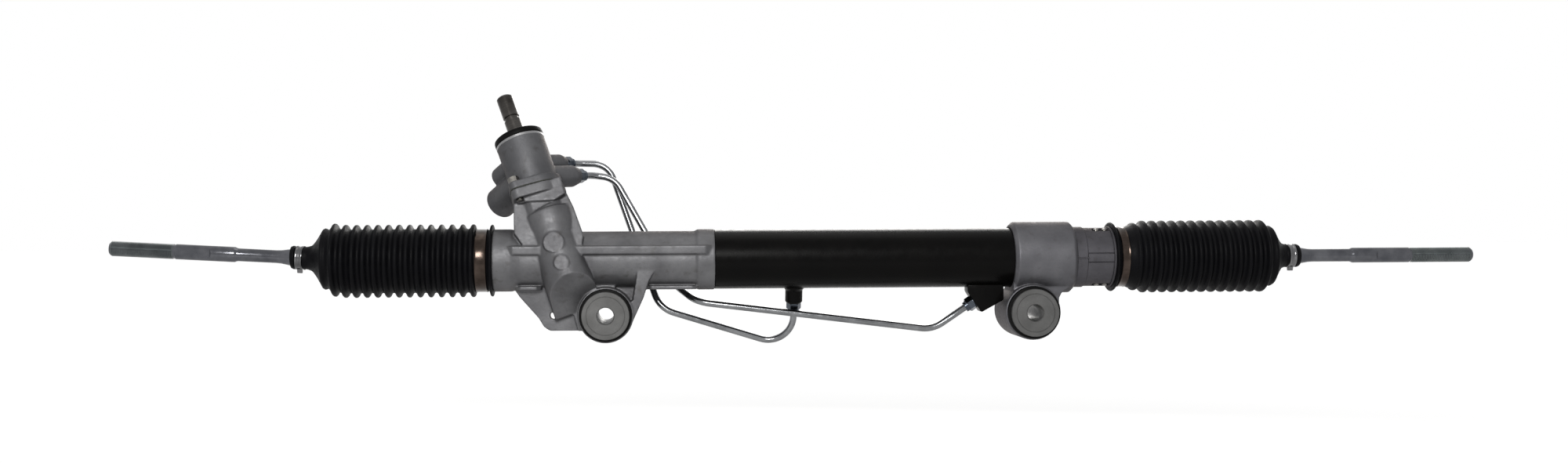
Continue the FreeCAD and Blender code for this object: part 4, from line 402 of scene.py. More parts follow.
class Bench:
    """Modelling steps that the pieces share, each made of Blender's own operators."""

    @staticmethod
    def everything() -> None:
        """Select the whole mesh in edit mode."""
        bpy.ops.mesh.select_all(action="SELECT")

    @staticmethod
    def edit() -> None:
        """Enter edit mode with everything selected."""
        bpy.ops.object.mode_set(mode="EDIT")
        Bench.everything()

    @staticmethod
    def done() -> None:
        """Leave edit mode."""
        bpy.ops.object.mode_set(mode="OBJECT")

    @staticmethod
    def close() -> None:
        """Turn all faces outwards and leave edit mode."""
        Bench.everything()
        bpy.ops.mesh.normals_make_consistent(inside=False)
        Bench.done()

    @staticmethod
    def pick(*objects: Item) -> None:
        """Select these objects only; the last one becomes active."""
        bpy.ops.object.select_all(action="DESELECT")
        for item in objects:
            item.select_set(True)
        bpy.context.view_layer.objects.active = objects[-1]

    @staticmethod
    def named(name: str) -> Item:
        """Name the active object and its mesh."""
        item = bpy.context.object
        item.name = name
        item.data.name = name
        return item

    @staticmethod
    def settle(item: Item, matrix: Matrix | None = None) -> Item:
        """Put an object in place and move that place into its mesh."""
        Bench.pick(item)
        if matrix is not None:
            item.matrix_world = matrix @ item.matrix_world
        bpy.ops.object.transform_apply(location=True, rotation=True, scale=True)
        return item

    @staticmethod
    def trace(name: str, points: Iterable[Vector]) -> Item:
        """Draw a line of vertices, each extruded from the last one.

        Args:
            name: Name of the new object.
            points: Corners of the line, in metres.

        Returns:
            An object that holds the line, still in edit mode.
        """
        corners = list(points)
        bpy.ops.object.select_all(action="DESELECT")
        bpy.ops.mesh.primitive_plane_add(size=MM)
        item = Bench.named(name)
        Bench.edit()
        bpy.ops.mesh.merge(type="CENTER")
        bpy.ops.transform.translate(value=corners[0])
        for last, corner in zip(corners, corners[1:]):
            bpy.ops.mesh.extrude_vertices_move(TRANSFORM_OT_translate={"value": corner - last})
        return item

    @staticmethod
    def lathe(name: str, profile: Profile, line: Line, steps: int = 96) -> Item:
        """Turn a round piece from its profile.

        Args:
            name: Name of the new object.
            profile: (distance along the line, radius) corners in mm, from end to end.
            line: The line that the piece turns about.
            steps: Number of facets round the piece.

        Returns:
            The turned object, in place.
        """
        item = Bench.trace(name, (Vector((along, 0, radius)) * MM for along, radius in profile))
        Bench.everything()
        bpy.ops.mesh.spin(steps=steps, angle=2 * math.pi, center=(0, 0, 0), axis=(1, 0, 0))
        Bench.everything()
        bpy.ops.mesh.remove_doubles(threshold=WELD_TURNED)
        Bench.close()
        return Bench.settle(item, line.matrix())

    @staticmethod
    def prism(name: str, corners: Sequence[Vector], push: Vector) -> Item:
        """Extrude a flat outline of corners, in mm, along a vector, in mm."""
        item = Bench.trace(name, (corner * MM for corner in corners))
        Bench.everything()
        bpy.ops.mesh.edge_face_add()
        Bench.everything()
        bpy.ops.mesh.extrude_region_move(TRANSFORM_OT_translate={"value": push * MM})
        Bench.close()
        return item

    @staticmethod
    def modify(item: Item, kind: str, **settings: object) -> Item:
        """Add one modifier, set it up and apply it."""
        Bench.pick(item)
        modifier = item.modifiers.new(kind.title(), kind)
        for key, value in settings.items():
            setattr(modifier, key, value)
        bpy.ops.object.modifier_apply(modifier=modifier.name)
        return item

    @staticmethod
    def soften(item: Item, width: float, segments: int = 2, angle: float = 30.0) -> Item:
        """Round the sharp edges of a piece; width in mm, angle in degrees."""
        return Bench.modify(item, "BEVEL", width=width * MM, segments=segments, limit_method="ANGLE",
                            angle_limit=math.radians(angle), use_clamp_overlap=True)

    @staticmethod
    def smooth(item: Item, angle: float = 40.0) -> Item:
        """Shade smooth except over sharp edges."""
        Bench.pick(item)
        bpy.ops.object.shade_smooth_by_angle(angle=math.radians(angle))
        return item

    @staticmethod
    def carve(item: Item, tool: Item, operation: str = "DIFFERENCE") -> Item:
        """Boolean with a tool piece, which is used up."""
        Bench.modify(item, "BOOLEAN", operation=operation, object=tool, solver="EXACT")
        bpy.data.objects.remove(tool)
        return item

    @staticmethod
    def join(name: str, *items: Item) -> Item:
        """Make one object of several; the last one's name is replaced."""
        Bench.pick(*items)
        bpy.ops.object.join()
        return Bench.named(name)

    @staticmethod
    def copy_node(node: str, name: str) -> Item:
        """Copy a CAD node as a new piece, its loose triangles joined up."""
        source = frame["nodes"][node]
        item = source.copy()
        item.data = source.data.copy()
        item.parent = None
        item.matrix_world = source.matrix_world.copy()
        bpy.context.scene.collection.objects.link(item)
        for key in list(item.keys()):
            del item[key]
        item.name = name
        item.data.name = name
        Bench.pick(item)
        Bench.edit()
        bpy.ops.mesh.remove_doubles(threshold=WELD_COPIED)
        Bench.done()
        return item

    @staticmethod
    def cast(item: Item, voxel: float, rounds: int) -> Item:
        """Melt a piece into a casting with soft edges and fillets.

        Args:
            item: The piece; overlapping shells in it grow together.
            voxel: Cell size, in mm.
            rounds: Smoothing rounds, each of which widens the fillets.

        Returns:
            The same piece, thinned where it has more faces than it needs.
        """
        Bench.modify(item, "REMESH", mode="VOXEL", voxel_size=voxel * MM)
        Bench.modify(item, "SMOOTH", factor=0.5, iterations=rounds)
        triangles = 2 * len(item.data.polygons)
        if triangles > MOST_TRIANGLES:
            Bench.modify(item, "DECIMATE", decimate_type="COLLAPSE", ratio=MOST_TRIANGLES / triangles)
        Bench.pick(item)
        bpy.ops.object.shade_smooth()
        return item


def section(along: float, corners: Profile, level: float = 0.0) -> list[Vector]:
    """Flat outline across the rack's axis from (reach, height) corners, in mm."""
    return [Vector((along, reach, level + height)) for reach, height in corners]


class Piece:
    """What every sub-assembly does with a finished mesh."""

    def __init__(self, finishes: Finishes) -> None:
        """Keep the finishes."""
        self.finishes = finishes

    def dress(self, item: Item, material: bpy.types.Material, slot: str,
              *nodes: str) -> Item:
        """Give a piece its material and hide the CAD nodes it stands for."""
        item.data.materials.clear()
        item.data.materials.append(material)
        if nodes:
            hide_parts(*nodes)
        LOG.info("%s: %d faces", item.name, len(item.data.polygons))
        return item

    def fit(self, item: Item, material: bpy.types.Material, slot: str, body: Body,
            *nodes: str) -> Item:
        """Dress a piece and let it ride on a body."""
        self.dress(item, material, slot, *nodes)
        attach(item, body.value)
        return item


class GearHousing(Piece):
    """The gear housing casting, with the shoulder on the front of its column."""

    # Shoulder as (level, radius) about a line beside the pinion axis; its back is cut away at a reach
    shoulder: Profile = [(15.0, 19.0), (15.0, 20.6), (17.5, 21.1), (20.5, 21.9), (24.0, 22.8), (28.0, 23.3),
                         (36.5, 23.4), (37.8, 23.0), (38.7, 21.8), (38.7, 19.0), (15.0, 19.0)]
    shoulder_right: float = 1.8
    shoulder_back: float = 7.0

    def column_shoulder(self) -> Item:
        """Half ring round the front of the column; it grows out of the barrel in a slow fillet."""
        line = Line(PINION_ORIGIN + PINION_RIGHT * self.shoulder_right, PINION_AXIS, TO_PINION)
        ring = Bench.lathe("shoulder", self.shoulder, line, 96)
        corners = [line.origin + TO_PINION * reach + PINION_RIGHT * side for reach, side in
                   ((self.shoulder_back, -40.0), (self.shoulder_back, 40.0), (-40.0, 40.0), (-40.0, -40.0))]
        return Bench.carve(ring, Bench.prism("back", corners, PINION_AXIS * 60.0))

    def build(self) -> None:
        """Cast the housing in one with its shoulder."""
        body = Bench.copy_node("gear_housing", "gear_housing_casting")
        body = Bench.join("gear_housing_casting", self.column_shoulder(), body)
        Bench.cast(body, 0.75, 4)
        self.fit(body, self.finishes.casting, "cast_aluminium", Body.HOUSING, "gear_housing")


class ValveHousing(Piece):
    """The valve housing casting, with its turned rim under the dust cover."""

    def build(self) -> None:
        """Cast the housing and turn the rim."""
        body = Bench.cast(Bench.copy_node("valve_housing", "valve_housing_casting"), 0.6, 4)
        self.fit(body, self.finishes.valve_casting, "valve_casting", Body.HOUSING, "valve_housing")
        rim = [(-2.6, 20.0), (-2.6, 22.0), (-2.3, 22.25), (-0.5, 22.25), (-0.1, 21.9), (-0.1, 20.0),
               (-2.6, 20.0)]
        ring = Bench.lathe("valve_housing_rim", [(VALVE_TOP + up, radius) for up, radius in rim], PINION_LINE,
                           128)
        self.fit(Bench.smooth(ring, 30.0), self.finishes.turned_aluminium, "valve_casting", Body.HOUSING)


class CylinderGroup(Piece):
    """Painted cylinder tube with its ports, the bracket and the end housing."""

    def tube(self) -> None:
        """The painted tube with its two welded ports."""
        skin = [(COLLAR_START, 22.0), (COLLAR_START, 24.2), (COLLAR_END, 24.2), (COLLAR_END, 26.0),
                (COLLAR_END + 0.4, 26.4), (TUBE_RIGHT - 0.4, 26.4), (TUBE_RIGHT, 26.0), (TUBE_RIGHT, 22.0),
                (COLLAR_START, 22.0)]
        shell = Bench.lathe("cylinder_tube_painted", skin, RACK_LINE, 128)
        port_line = Line(PORT_A_ROOT, PORT_A_DOWN, X_AXIS)
        boss = Bench.lathe("boss", [(23.0, 0.0), (23.0, 10.5), (25.8, 10.2), (27.6, 8.6), (28.8, 7.75),
                                    (39.3, 7.75),
                                    (40.5, 6.9), (40.5, 6.2), (35.5, 6.2), (35.5, 0.0)], port_line, 48)
        up = Vector((-PORT_B_IN.z, 0, PORT_B_IN.x)) * PORT_B_FACE_HALF
        upper = PORT_B_MOUTH + up
        lower = PORT_B_MOUTH - up
        half = Vector((0, 8.5, 0))
        corners = [upper, Vector((upper.x, -4.0, 24.5)), Vector((PORT_B_BLOCK_RIGHT, -4.0, 24.5)),
                   Vector((PORT_B_BLOCK_RIGHT, -4.0, lower.z + PORT_B_FACE_HALF)), lower]
        block = Bench.prism("block", [corner - half for corner in corners], half * 2)
        Bench.soften(block, 1.2, 3)
        seat = Line(PORT_B_MOUTH, PORT_B_IN, Y_AXIS)
        Bench.carve(block, Bench.lathe("seat", [(-2.0, 0.0), (-2.0, 6.2), (5.0, 6.2), (5.0, 0.0)], seat, 48))
        whole = Bench.join("cylinder_tube_painted", boss, block, shell)
        Bench.smooth(whole, 35.0)
        self.fit(whole, self.finishes.black_paint, "black_tube", Body.HOUSING, "cylinder_tube")

    def bracket(self) -> None:
        """The clamped bracket that carries the far bush."""
        body = Bench.cast(Bench.copy_node("cylinder_bracket", "cylinder_bracket_casting"), 0.7, 4)
        self.fit(body, self.finishes.bracket_casting, "cast_aluminium", Body.HOUSING, "cylinder_bracket")

    def end_housing(self) -> None:
        """The end housing: turned outline, a key with a groove at each side, a rib and four staked pins."""
        left = TUBE_RIGHT - 18.4
        outer = [(left, 21.7), (left + 0.4, 22.0), (TUBE_RIGHT, 22.0), (TUBE_RIGHT, 26.6),
                 (TUBE_RIGHT + 0.5, 27.1),
                 (END_STEP - 0.4, 27.1), (END_STEP, 26.7), (END_STEP + 0.3, 26.2), (END_RIM - 2.7, 26.2),
                 (END_RIM - 2.4, 25.7), (END_RIM - 1.9, 25.7), (END_RIM - 1.8, 27.0), (END_RIM - 1.4, 27.4),
                 (END_RIM - 0.4, 27.4), (END_RIM, 27.0), (END_RIM, 24.3), (END_RIGHT - 0.6, 24.3),
                 (END_RIGHT, 23.7)]
        inner = [(END_RIGHT, 14.0), (left + 38.0, 14.0), (left + 38.0, 16.1), (left + 8.0, 16.1),
                 (left + 8.0, 19.1), (left, 19.1)]
        body = Bench.lathe("end_housing_casting", outer + inner + [outer[0]], RACK_LINE, 144)
        for height in (44.0, 52.0):
            corners = section(END_STEP + 0.2, ((-30.0, -0.7), (-30.0, 0.7), (-24.6, 0.5), (-24.6, -0.5)),
                              height)
            Bench.carve(body, Bench.prism("groove", corners, Vector((END_RIM - 2.0 - END_STEP, 0, 0))))
        for rise in (-1, 1):
            out = self.pin_direction(rise)
            across = X_AXIS.cross(out)
            corners = [RACK_LINE.at(END_STEP + 7.6, out * reach + across * side) for reach, side in
                       ((24.2, -3.0), (24.2, 3.0), (30.0, 3.0), (30.0, -3.0))]
            Bench.carve(body, Bench.prism("recess", corners, Vector((END_RIM - 2.8 - END_STEP - 7.6, 0, 0))))
        body = Bench.smooth(Bench.join("end_housing_casting", self.end_key(), self.end_rib(), body), 30.0)
        self.fit(body, self.finishes.end_casting, "cast_aluminium", Body.HOUSING, "end_housing")
        pins = Bench.smooth(Bench.join("end_housing_pins", *self.staked_pins()), 30.0)
        self.fit(pins, self.finishes.bolt, "cast_aluminium", Body.HOUSING)

    @staticmethod
    def pin_direction(rise: int) -> Vector:
        """Direction of the upper or lower pins, away from the rack axis."""
        return Vector((0, -math.cos(math.radians(70.0)), rise * math.sin(math.radians(70.0))))

    def end_key(self) -> Item:
        """Flat key on the front, between the two grooves."""
        corners = section(END_STEP + 0.2, ((-24.0, 44.7), (-26.7, 44.7), (-26.9, 45.1), (-26.9, 50.9),
                                           (-26.7, 51.3), (-24.0, 51.3)))
        return Bench.prism("key", corners, Vector((END_RIM - 2.6 - END_STEP, 0, 0)))

    def end_rib(self) -> Item:
        """Small moulding rib across the shoulder."""
        corners = section(TUBE_RIGHT + 0.2, ((-26.0, 47.0), (-28.0, 47.4), (-28.3, 47.9), (-28.0, 48.4),
                                             (-26.0, 48.8)))
        return Bench.prism("rib", corners, Vector((END_STEP + 0.6 - TUBE_RIGHT, 0, 0)))

    def staked_pins(self) -> list[Item]:
        """Four staked pins: two above and two below."""
        pins = []
        for along in (END_STEP + 11.6, END_STEP + 19.0):
            for rise in (-1, 1):
                line = Line(RACK_LINE.at(along), self.pin_direction(rise), X_AXIS)
                pins.append(Bench.lathe("pin", [(24.0, 0.0), (24.0, 2.3), (25.9, 2.3), (26.5, 1.9),
                                                (26.8, 1.2),
                                                (26.9, 0.0)], line, 32))
        return pins

    def build(self) -> None:
        """Build the group."""
        self.tube()
        self.bracket()
        self.end_housing()


@dataclass
class BushSizes:
    """Sizes of a mounting bush, in mm."""

    half: float = 25.0
    lip: float = 4.5
    plate: float = 4.5
    eye: float = 20.0
    lip_radius: float = 23.4
    plate_radius: float = 21.0
    tube: float = 11.0
    bore: float = 7.25
    groove: float = 16.8


class MountingBush(Piece):
    """Rubber bush with a steel sleeve and its two end plates."""

    def __init__(self, finishes: Finishes, side: str, centre: Vector) -> None:
        """Keep the side's name and the bush centre."""
        super().__init__(finishes)
        self.side = side
        self.line = Line(centre, Y_AXIS, Z_AXIS)
        self.sizes = BushSizes()

    def turned(self, name: str, half: Profile, angle: float) -> Item:
        """Turn an outline of one end together with its mirror image."""
        loop = [(-along, radius) for along, radius in reversed(half)] + list(half)
        return Bench.smooth(Bench.lathe(name + self.side, loop + loop[:1], self.line, 128), angle)

    def build(self) -> None:
        """Build rubber and sleeve."""
        s = self.sizes
        lip = s.half + s.lip
        end = lip + s.plate
        half_rubber = [(s.half, s.eye), (s.half, s.lip_radius - 0.8), (s.half + 0.8, s.lip_radius),
                       (lip - 1.2, s.lip_radius), (lip - 0.3, s.lip_radius - 0.5), (lip, s.lip_radius - 1.4),
                       (lip, s.tube)]
        item = self.turned("bush_rubber_moulded_", half_rubber, 40.0)
        self.fit(item, self.finishes.bush_rubber, "bush_rubber", Body.HOUSING, "bush_rubber_" + self.side)
        plate = [(lip, s.tube), (lip, s.plate_radius - 0.4), (lip + 0.4, s.plate_radius),
                 (end - 0.5, s.plate_radius),
                 (end, s.plate_radius - 0.5), (end, s.groove + 0.35), (end - 0.45, s.groove + 0.2),
                 (end - 0.45, s.groove - 0.2), (end, s.groove - 0.35), (end, s.bore + 0.7),
                 (end - 0.7, s.bore)]
        item = self.turned("bush_sleeve_turned_", plate, 30.0)
        self.fit(item, self.finishes.bush_plate, "bush_steel", Body.HOUSING, "bush_sleeve_" + self.side)


@dataclass
class BellowsSizes:
    """Sizes of one bellows, in mm; distances run outwards from the housing's face."""

    lip_radius: float
    seat_radius: float
    first_peak: float
    pitch: float
    band_start: float
    band_width: float
    count: int = 14
    peak: float = 32.4
    valley: float = 28.2
    lip_width: float = 2.2
    wall: float = 1.2
    cuff: float = 2.2
    small_first: bool = False


LEFT_BELLOWS = BellowsSizes(lip_radius=32.0, seat_radius=25.2, first_peak=17.8, pitch=9.38, band_start=4.8,
                            band_width=10.5)
RIGHT_BELLOWS = BellowsSizes(lip_radius=31.0, seat_radius=24.3, first_peak=21.0, pitch=8.88, band_start=5.4,
                             band_width=7.2, small_first=True)


class Bellows(Piece):
    """Rubber bellows with its band and clip, from the housing's cuff seat to the tie rod."""

    def __init__(self, finishes: Finishes, side: str, face: float, line: Line, rod: Line, sizes: BellowsSizes,
                 seat: Body, rod_body: Body) -> None:
        """Keep the places, sizes and bodies of one side."""
        super().__init__(finishes)
        self.side = side
        self.face = face
        self.line = line
        self.rod = rod
        self.sizes = sizes
        self.seat = seat
        self.rod_body = rod_body

    def fold(self, peak: float, top: float) -> list[tuple[float, float]]:
        """One rounded convolution about its peak, ending in the middle of the next valley."""
        s = self.sizes
        low = s.valley
        rise = top - low
        shape = [(-0.36, 0.10), (-0.25, 0.42), (-0.17, 0.80), (-0.09, 0.97), (0.0, 1.0), (0.09, 0.97),
                 (0.17, 0.80),
                 (0.25, 0.42), (0.36, 0.10), (0.5, 0.0)]
        return [(peak + s.pitch * part, low + rise * height) for part, height in shape]

    def outline(self) -> list[tuple[float, float]]:
        """Outer outline of cuff and convolutions, up to the shoulder."""
        s = self.sizes
        cuff = s.seat_radius + s.cuff
        end = s.band_start + s.band_width + 0.6
        points = [(0.0, s.lip_radius - 1.2), (0.3, s.lip_radius - 0.3), (1.1, s.lip_radius),
                  (s.lip_width, s.lip_radius - 0.6),
                  (s.lip_width + 0.9, cuff + 1.0), (s.lip_width + 1.5, cuff), (end, cuff)]
        for index in range(s.count):
            top = s.peak - (2.0 if index == 0 and s.small_first else 0.0)
            fold = self.fold(s.first_peak + s.pitch * index, top)
            points += fold if index else [point for point in fold if point[0] > end + 0.3]
        return points

    def solid(self, name: str, outer: list[tuple[float, float]], inner: list[tuple[float, float]]) -> Item:
        """Turn a closed wall from its outer and inner outlines."""
        loop = outer + inner[::-1]
        loop.append(loop[0])
        return Bench.smooth(Bench.lathe(name, loop, self.line, 96), 60.0)

    def walled(self, outer: list[tuple[float, float]]) -> list[tuple[float, float]]:
        """Inner outline of a stretch of wall."""
        return [(along, radius - self.sizes.wall) for along, radius in outer]

    def follow_rod(self, item: Item, stations: Iterable[float], begin: float) -> None:
        """Shift the rings of a piece sideways so that it bends into the rod's line.

        Args:
            item: The piece.
            stations: The rings' distances from the face, in mm.
            begin: Distance from the face where the bend starts, in mm.
        """
        slope = self.rod.direction.z / abs(self.rod.direction.x)
        if slope < 0.001:
            return
        sign = self.line.direction.x
        ball = abs(self.rod.origin.x - self.face)
        for station in sorted({round(value, 3) for value in stations}):
            share = min(1.0, max(0.0, (station - begin) / 22.0))
            lift = slope * (station - ball) * share * share * (3 - 2 * share)
            if lift <= 0.0:
                continue
            place = (self.face + sign * station) * MM
            Bench.pick(item)
            for vertex in item.data.vertices:
                vertex.select = abs(vertex.co.x - place) < 0.00001
            for edge in item.data.edges:
                edge.select = False
            for face in item.data.polygons:
                face.select = False
            bpy.ops.object.mode_set(mode="EDIT")
            bpy.ops.transform.translate(value=(0, 0, lift * MM))
            Bench.done()

    def spot(self, along: float) -> Vector:
        """Point on the rack axis at a distance from the face, in metres."""
        return Vector((self.face + self.line.direction.x * along, 0, RACK_LEVEL)) * MM

    def folds(self) -> None:
        """The main run of folds."""
        s = self.sizes
        outer = self.outline()
        split = s.first_peak + s.pitch * (s.count - 2.5)
        main_outer = [point for point in outer if point[0] <= split + 0.01]
        start = s.band_start + s.band_width + 0.6 + s.wall
        main_inner = [(0.0, s.seat_radius), (start, s.seat_radius)]
        main_inner += [point for point in self.walled(main_outer) if point[0] > start + 0.6]
        main = self.solid("bellows_folds_" + self.side, main_outer, main_inner)
        self.dress(main, self.finishes.bellows, "bellows_rubber", "bellows_" + self.side)
        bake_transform(main)
        shoulder = s.first_peak + s.pitch * (s.count - 1) + s.pitch * 0.4 + 5.0
        tail = [point for point in outer if split - 0.01 <= point[0] < shoulder - 5.6]
        tail += [(shoulder - 5.2, 28.1), (shoulder - 3.9, 26.6), (shoulder - 2.6, 26.2),
                 (shoulder - 1.4, 26.9),
                 (shoulder, 27.2), (shoulder + 1.4, 26.4), (shoulder + 2.4, 24.6)]
        end = self.solid("bellows_shoulder_" + self.side, tail, self.walled(tail))
        self.follow_rod(end, (along for along, radius in tail), split)
        self.dress(end, self.finishes.bellows, "bellows_rubber", "bellows_" + self.side)
        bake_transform(end)
        self.cone(shoulder, split)

    def cone(self, shoulder: float, split: float) -> None:
        """The steep cone and the small cuff on the rod."""
        ball = abs(self.rod.origin.x - self.face)
        clip = ball + 61.0
        wall = [(shoulder + 2.4, 24.6), (shoulder + 4.2, 21.6), (shoulder + 6.6, 17.6),
                (shoulder + 8.9, 14.5),
                (shoulder + 10.4, 12.6), (shoulder + 12.0, 11.3), (shoulder + 14.5, 10.4), (clip - 2.6, 9.9),
                (clip - 1.4, 10.5), (clip - 0.5, 10.5), (clip, 9.5), (clip + 6.5, 9.5), (clip + 7.0, 10.4),
                (clip + 8.6, 10.4), (clip + 10.4, 9.6), (clip + 10.8, 8.8)]
        inner = self.walled(wall[:7]) + [(clip - 2.6, 7.6), (clip + 10.8, 7.6)]
        item = self.solid("bellows_cuff_" + self.side, wall, inner)
        self.follow_rod(item, (along for along, radius in wall + inner), split)
        self.dress(item, self.finishes.bellows, "bellows_rubber", "bellows_" + self.side)
        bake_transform(item)

    def band(self) -> None:
        """The wide band round the cuff, with rolled edges and a crimped lug at the back."""
        s = self.sizes
        cuff = s.seat_radius + s.cuff
        a = s.band_start
        b = s.band_start + s.band_width
        loop = [(a, cuff + 0.02), (a, cuff + 0.5), (a + 0.5, cuff + 0.85), (a + 1.1, cuff + 0.62),
                (a + 1.7, cuff + 0.5),
                (b - 1.7, cuff + 0.5), (b - 1.1, cuff + 0.62), (b - 0.5, cuff + 0.85), (b, cuff + 0.5),
                (b, cuff + 0.02), (a, cuff + 0.02)]
        strip = Bench.lathe("bellows_band_strip_" + self.side, loop, self.line, 128)
        middle = self.spot((a + b) / 2) / MM
        width = s.band_width - 3.0
        reach = cuff + 3.6
        outline = ((cuff, -2.6), (reach - 0.8, -2.4), (reach, -1.6), (reach, 1.6), (reach - 0.8, 2.4),
                   (cuff, 2.6))
        corners = [middle + corner for corner in section(-width / 2, outline)]
        lug = Bench.soften(Bench.prism("lug", corners, Vector((width, 0, 0))), 0.5, 2)
        item = Bench.smooth(Bench.join(strip.name, lug, strip), 35.0)
        self.fit(item, self.finishes.band, "band_steel", Body.HOUSING, "bellows_band_" + self.side)

    def clip(self) -> None:
        """The narrow clip round the small cuff: two beads, a groove and a pinched ear."""
        inner = 9.52
        loop = [(61.0, inner), (61.0, 10.1), (61.4, 10.5), (62.3, 10.6), (63.1, 10.3), (63.5, 10.0),
                (65.0, 10.0),
                (65.4, 10.3), (66.2, 10.6), (67.1, 10.5), (67.5, 10.1), (67.5, inner), (61.0, inner)]
        ring = Bench.lathe("bellows_clip_ring_" + self.side, loop, self.rod, 96)
        along = self.rod.direction
        centre = self.rod.at(62.0)
        down = Vector((0, 0, -1))
        front = Y_AXIS
        corners = [centre + down * reach + front * across for across, reach in
                   ((-2.8, 9.9), (-1.9, 11.6), (-1.9, 13.0), (-1.2, 13.6), (1.2, 13.6), (1.9, 13.0),
                    (1.9, 11.6), (2.8, 9.9))]
        ear = Bench.soften(Bench.prism("ear", corners, along * 4.5), 0.35, 2)
        item = Bench.smooth(Bench.join(ring.name, ear, ring), 35.0)
        self.fit(item, self.finishes.clip, "band_steel", self.rod_body, "bellows_clip_" + self.side)

    def build(self) -> None:
        """Build bellows, band and clip."""
        self.folds()
        self.band()
        self.clip()


@dataclass
class RodSizes:
    """Sizes of a tie rod, in mm from the ball's centre."""

    ball: float = 11.5
    neck: float = 6.0
    seat: float = 7.5
    thin: float = 5.75
    thick: float = 6.8
    flat: float = 5.6
    flats_start: float = 142.5
    flats_end: float = 173.0
    thread_start: float = 174.0
    thread_end: float = 229.0
    tip: float = 230.5
    root: float = 6.15
    pitch: float = 1.5


class TieRod(Piece):
    """Tie rod with ball, clip seat, flats and a cut thread."""

    def __init__(self, finishes: Finishes, side: str, line: Line, body: Body) -> None:
        """Keep the rod's line and body."""
        super().__init__(finishes)
        self.side = side
        self.line = line
        self.body = body
        self.sizes = RodSizes()

    def shaft(self) -> Item:
        """The forged and turned shaft with its two wrench flats."""
        s = self.sizes
        ball = [(-s.ball * math.cos(math.radians(turn)), s.ball * math.sin(math.radians(turn)))
                for turn in range(0, 145, 12)]
        profile = ball + [(9.9, s.neck), (50.0, s.neck), (56.0, s.seat), (72.0, s.seat), (73.4, s.seat - 0.3),
                          (76.2, 6.7), (80.0, 6.05), (84.4, s.thin), (118.0, s.thin), (119.4, 6.0),
                          (120.6, 6.6),
                          (121.6, s.thick), (172.6, s.thick), (s.flats_end, s.thick - 0.3),
                          (173.4, s.root + 0.1),
                          (s.tip - 1.4, s.root + 0.1), (s.tip, s.root - 1.0), (s.tip, 0.0)]
        item = Bench.lathe("tie_rod_shaft_" + self.side, profile, self.line, 64)
        for sign in (-1, 1):
            corner = self.line.at(s.flats_start) + Vector((0, sign * s.flat, 0))
            up = Vector((0, 0, 12))
            out = Vector((0, sign * 6.0, 0))
            slope = self.line.direction * 1.6
            length = self.line.direction * (s.flats_end - s.flats_start - 0.6)
            ramp = Vector((0, sign * 1.3, 0))
            corners = [corner - up, corner + length - up, corner + length + slope + ramp - up,
                       corner + length + slope + out - up, corner - slope + out - up,
                       corner - slope + ramp - up]
            Bench.carve(item, Bench.prism("flat", corners, up * 2))
        return item

    def thread(self) -> Item:
        """The thread: a ridge wound along the shaft's end."""
        s = self.sizes
        begin = Vector((s.thread_start * MM, 0, (s.root - 0.2) * MM))
        ridge = ((0.0, 0.0), (0.04, 0.2), (0.64, 0.8), (0.82, 0.8), (1.42, 0.2), (1.46, 0.0), (0.0, 0.0))
        item = Bench.trace("thread", (begin + Vector((along, 0, up)) * MM for along, up in ridge))
        Bench.everything()
        bpy.ops.mesh.remove_doubles(threshold=WELD_THREAD)
        Bench.done()
        turns = int((s.thread_end - s.thread_start) / s.pitch)
        Bench.modify(item, "SCREW", axis="X", angle=2 * math.pi, screw_offset=s.pitch * MM, iterations=turns,
                     steps=32,
                     render_steps=32, use_smooth_shade=True)
        Bench.pick(item)
        Bench.edit()
        bpy.ops.mesh.remove_doubles(threshold=WELD_THREAD)
        bpy.ops.mesh.fill_holes(sides=8)
        Bench.close()
        return Bench.settle(item, self.line.matrix())

    def build(self) -> None:
        """Build shaft and thread."""
        item = Bench.smooth(self.shaft(), 35.0)
        self.fit(item, self.finishes.rod, "rod_steel", self.body, "tie_rod_" + self.side)
        ridge = Bench.smooth(self.thread(), 25.0)
        ridge.name = "tie_rod_thread_" + self.side
        self.fit(ridge, self.finishes.thread, "rod_steel", self.body)


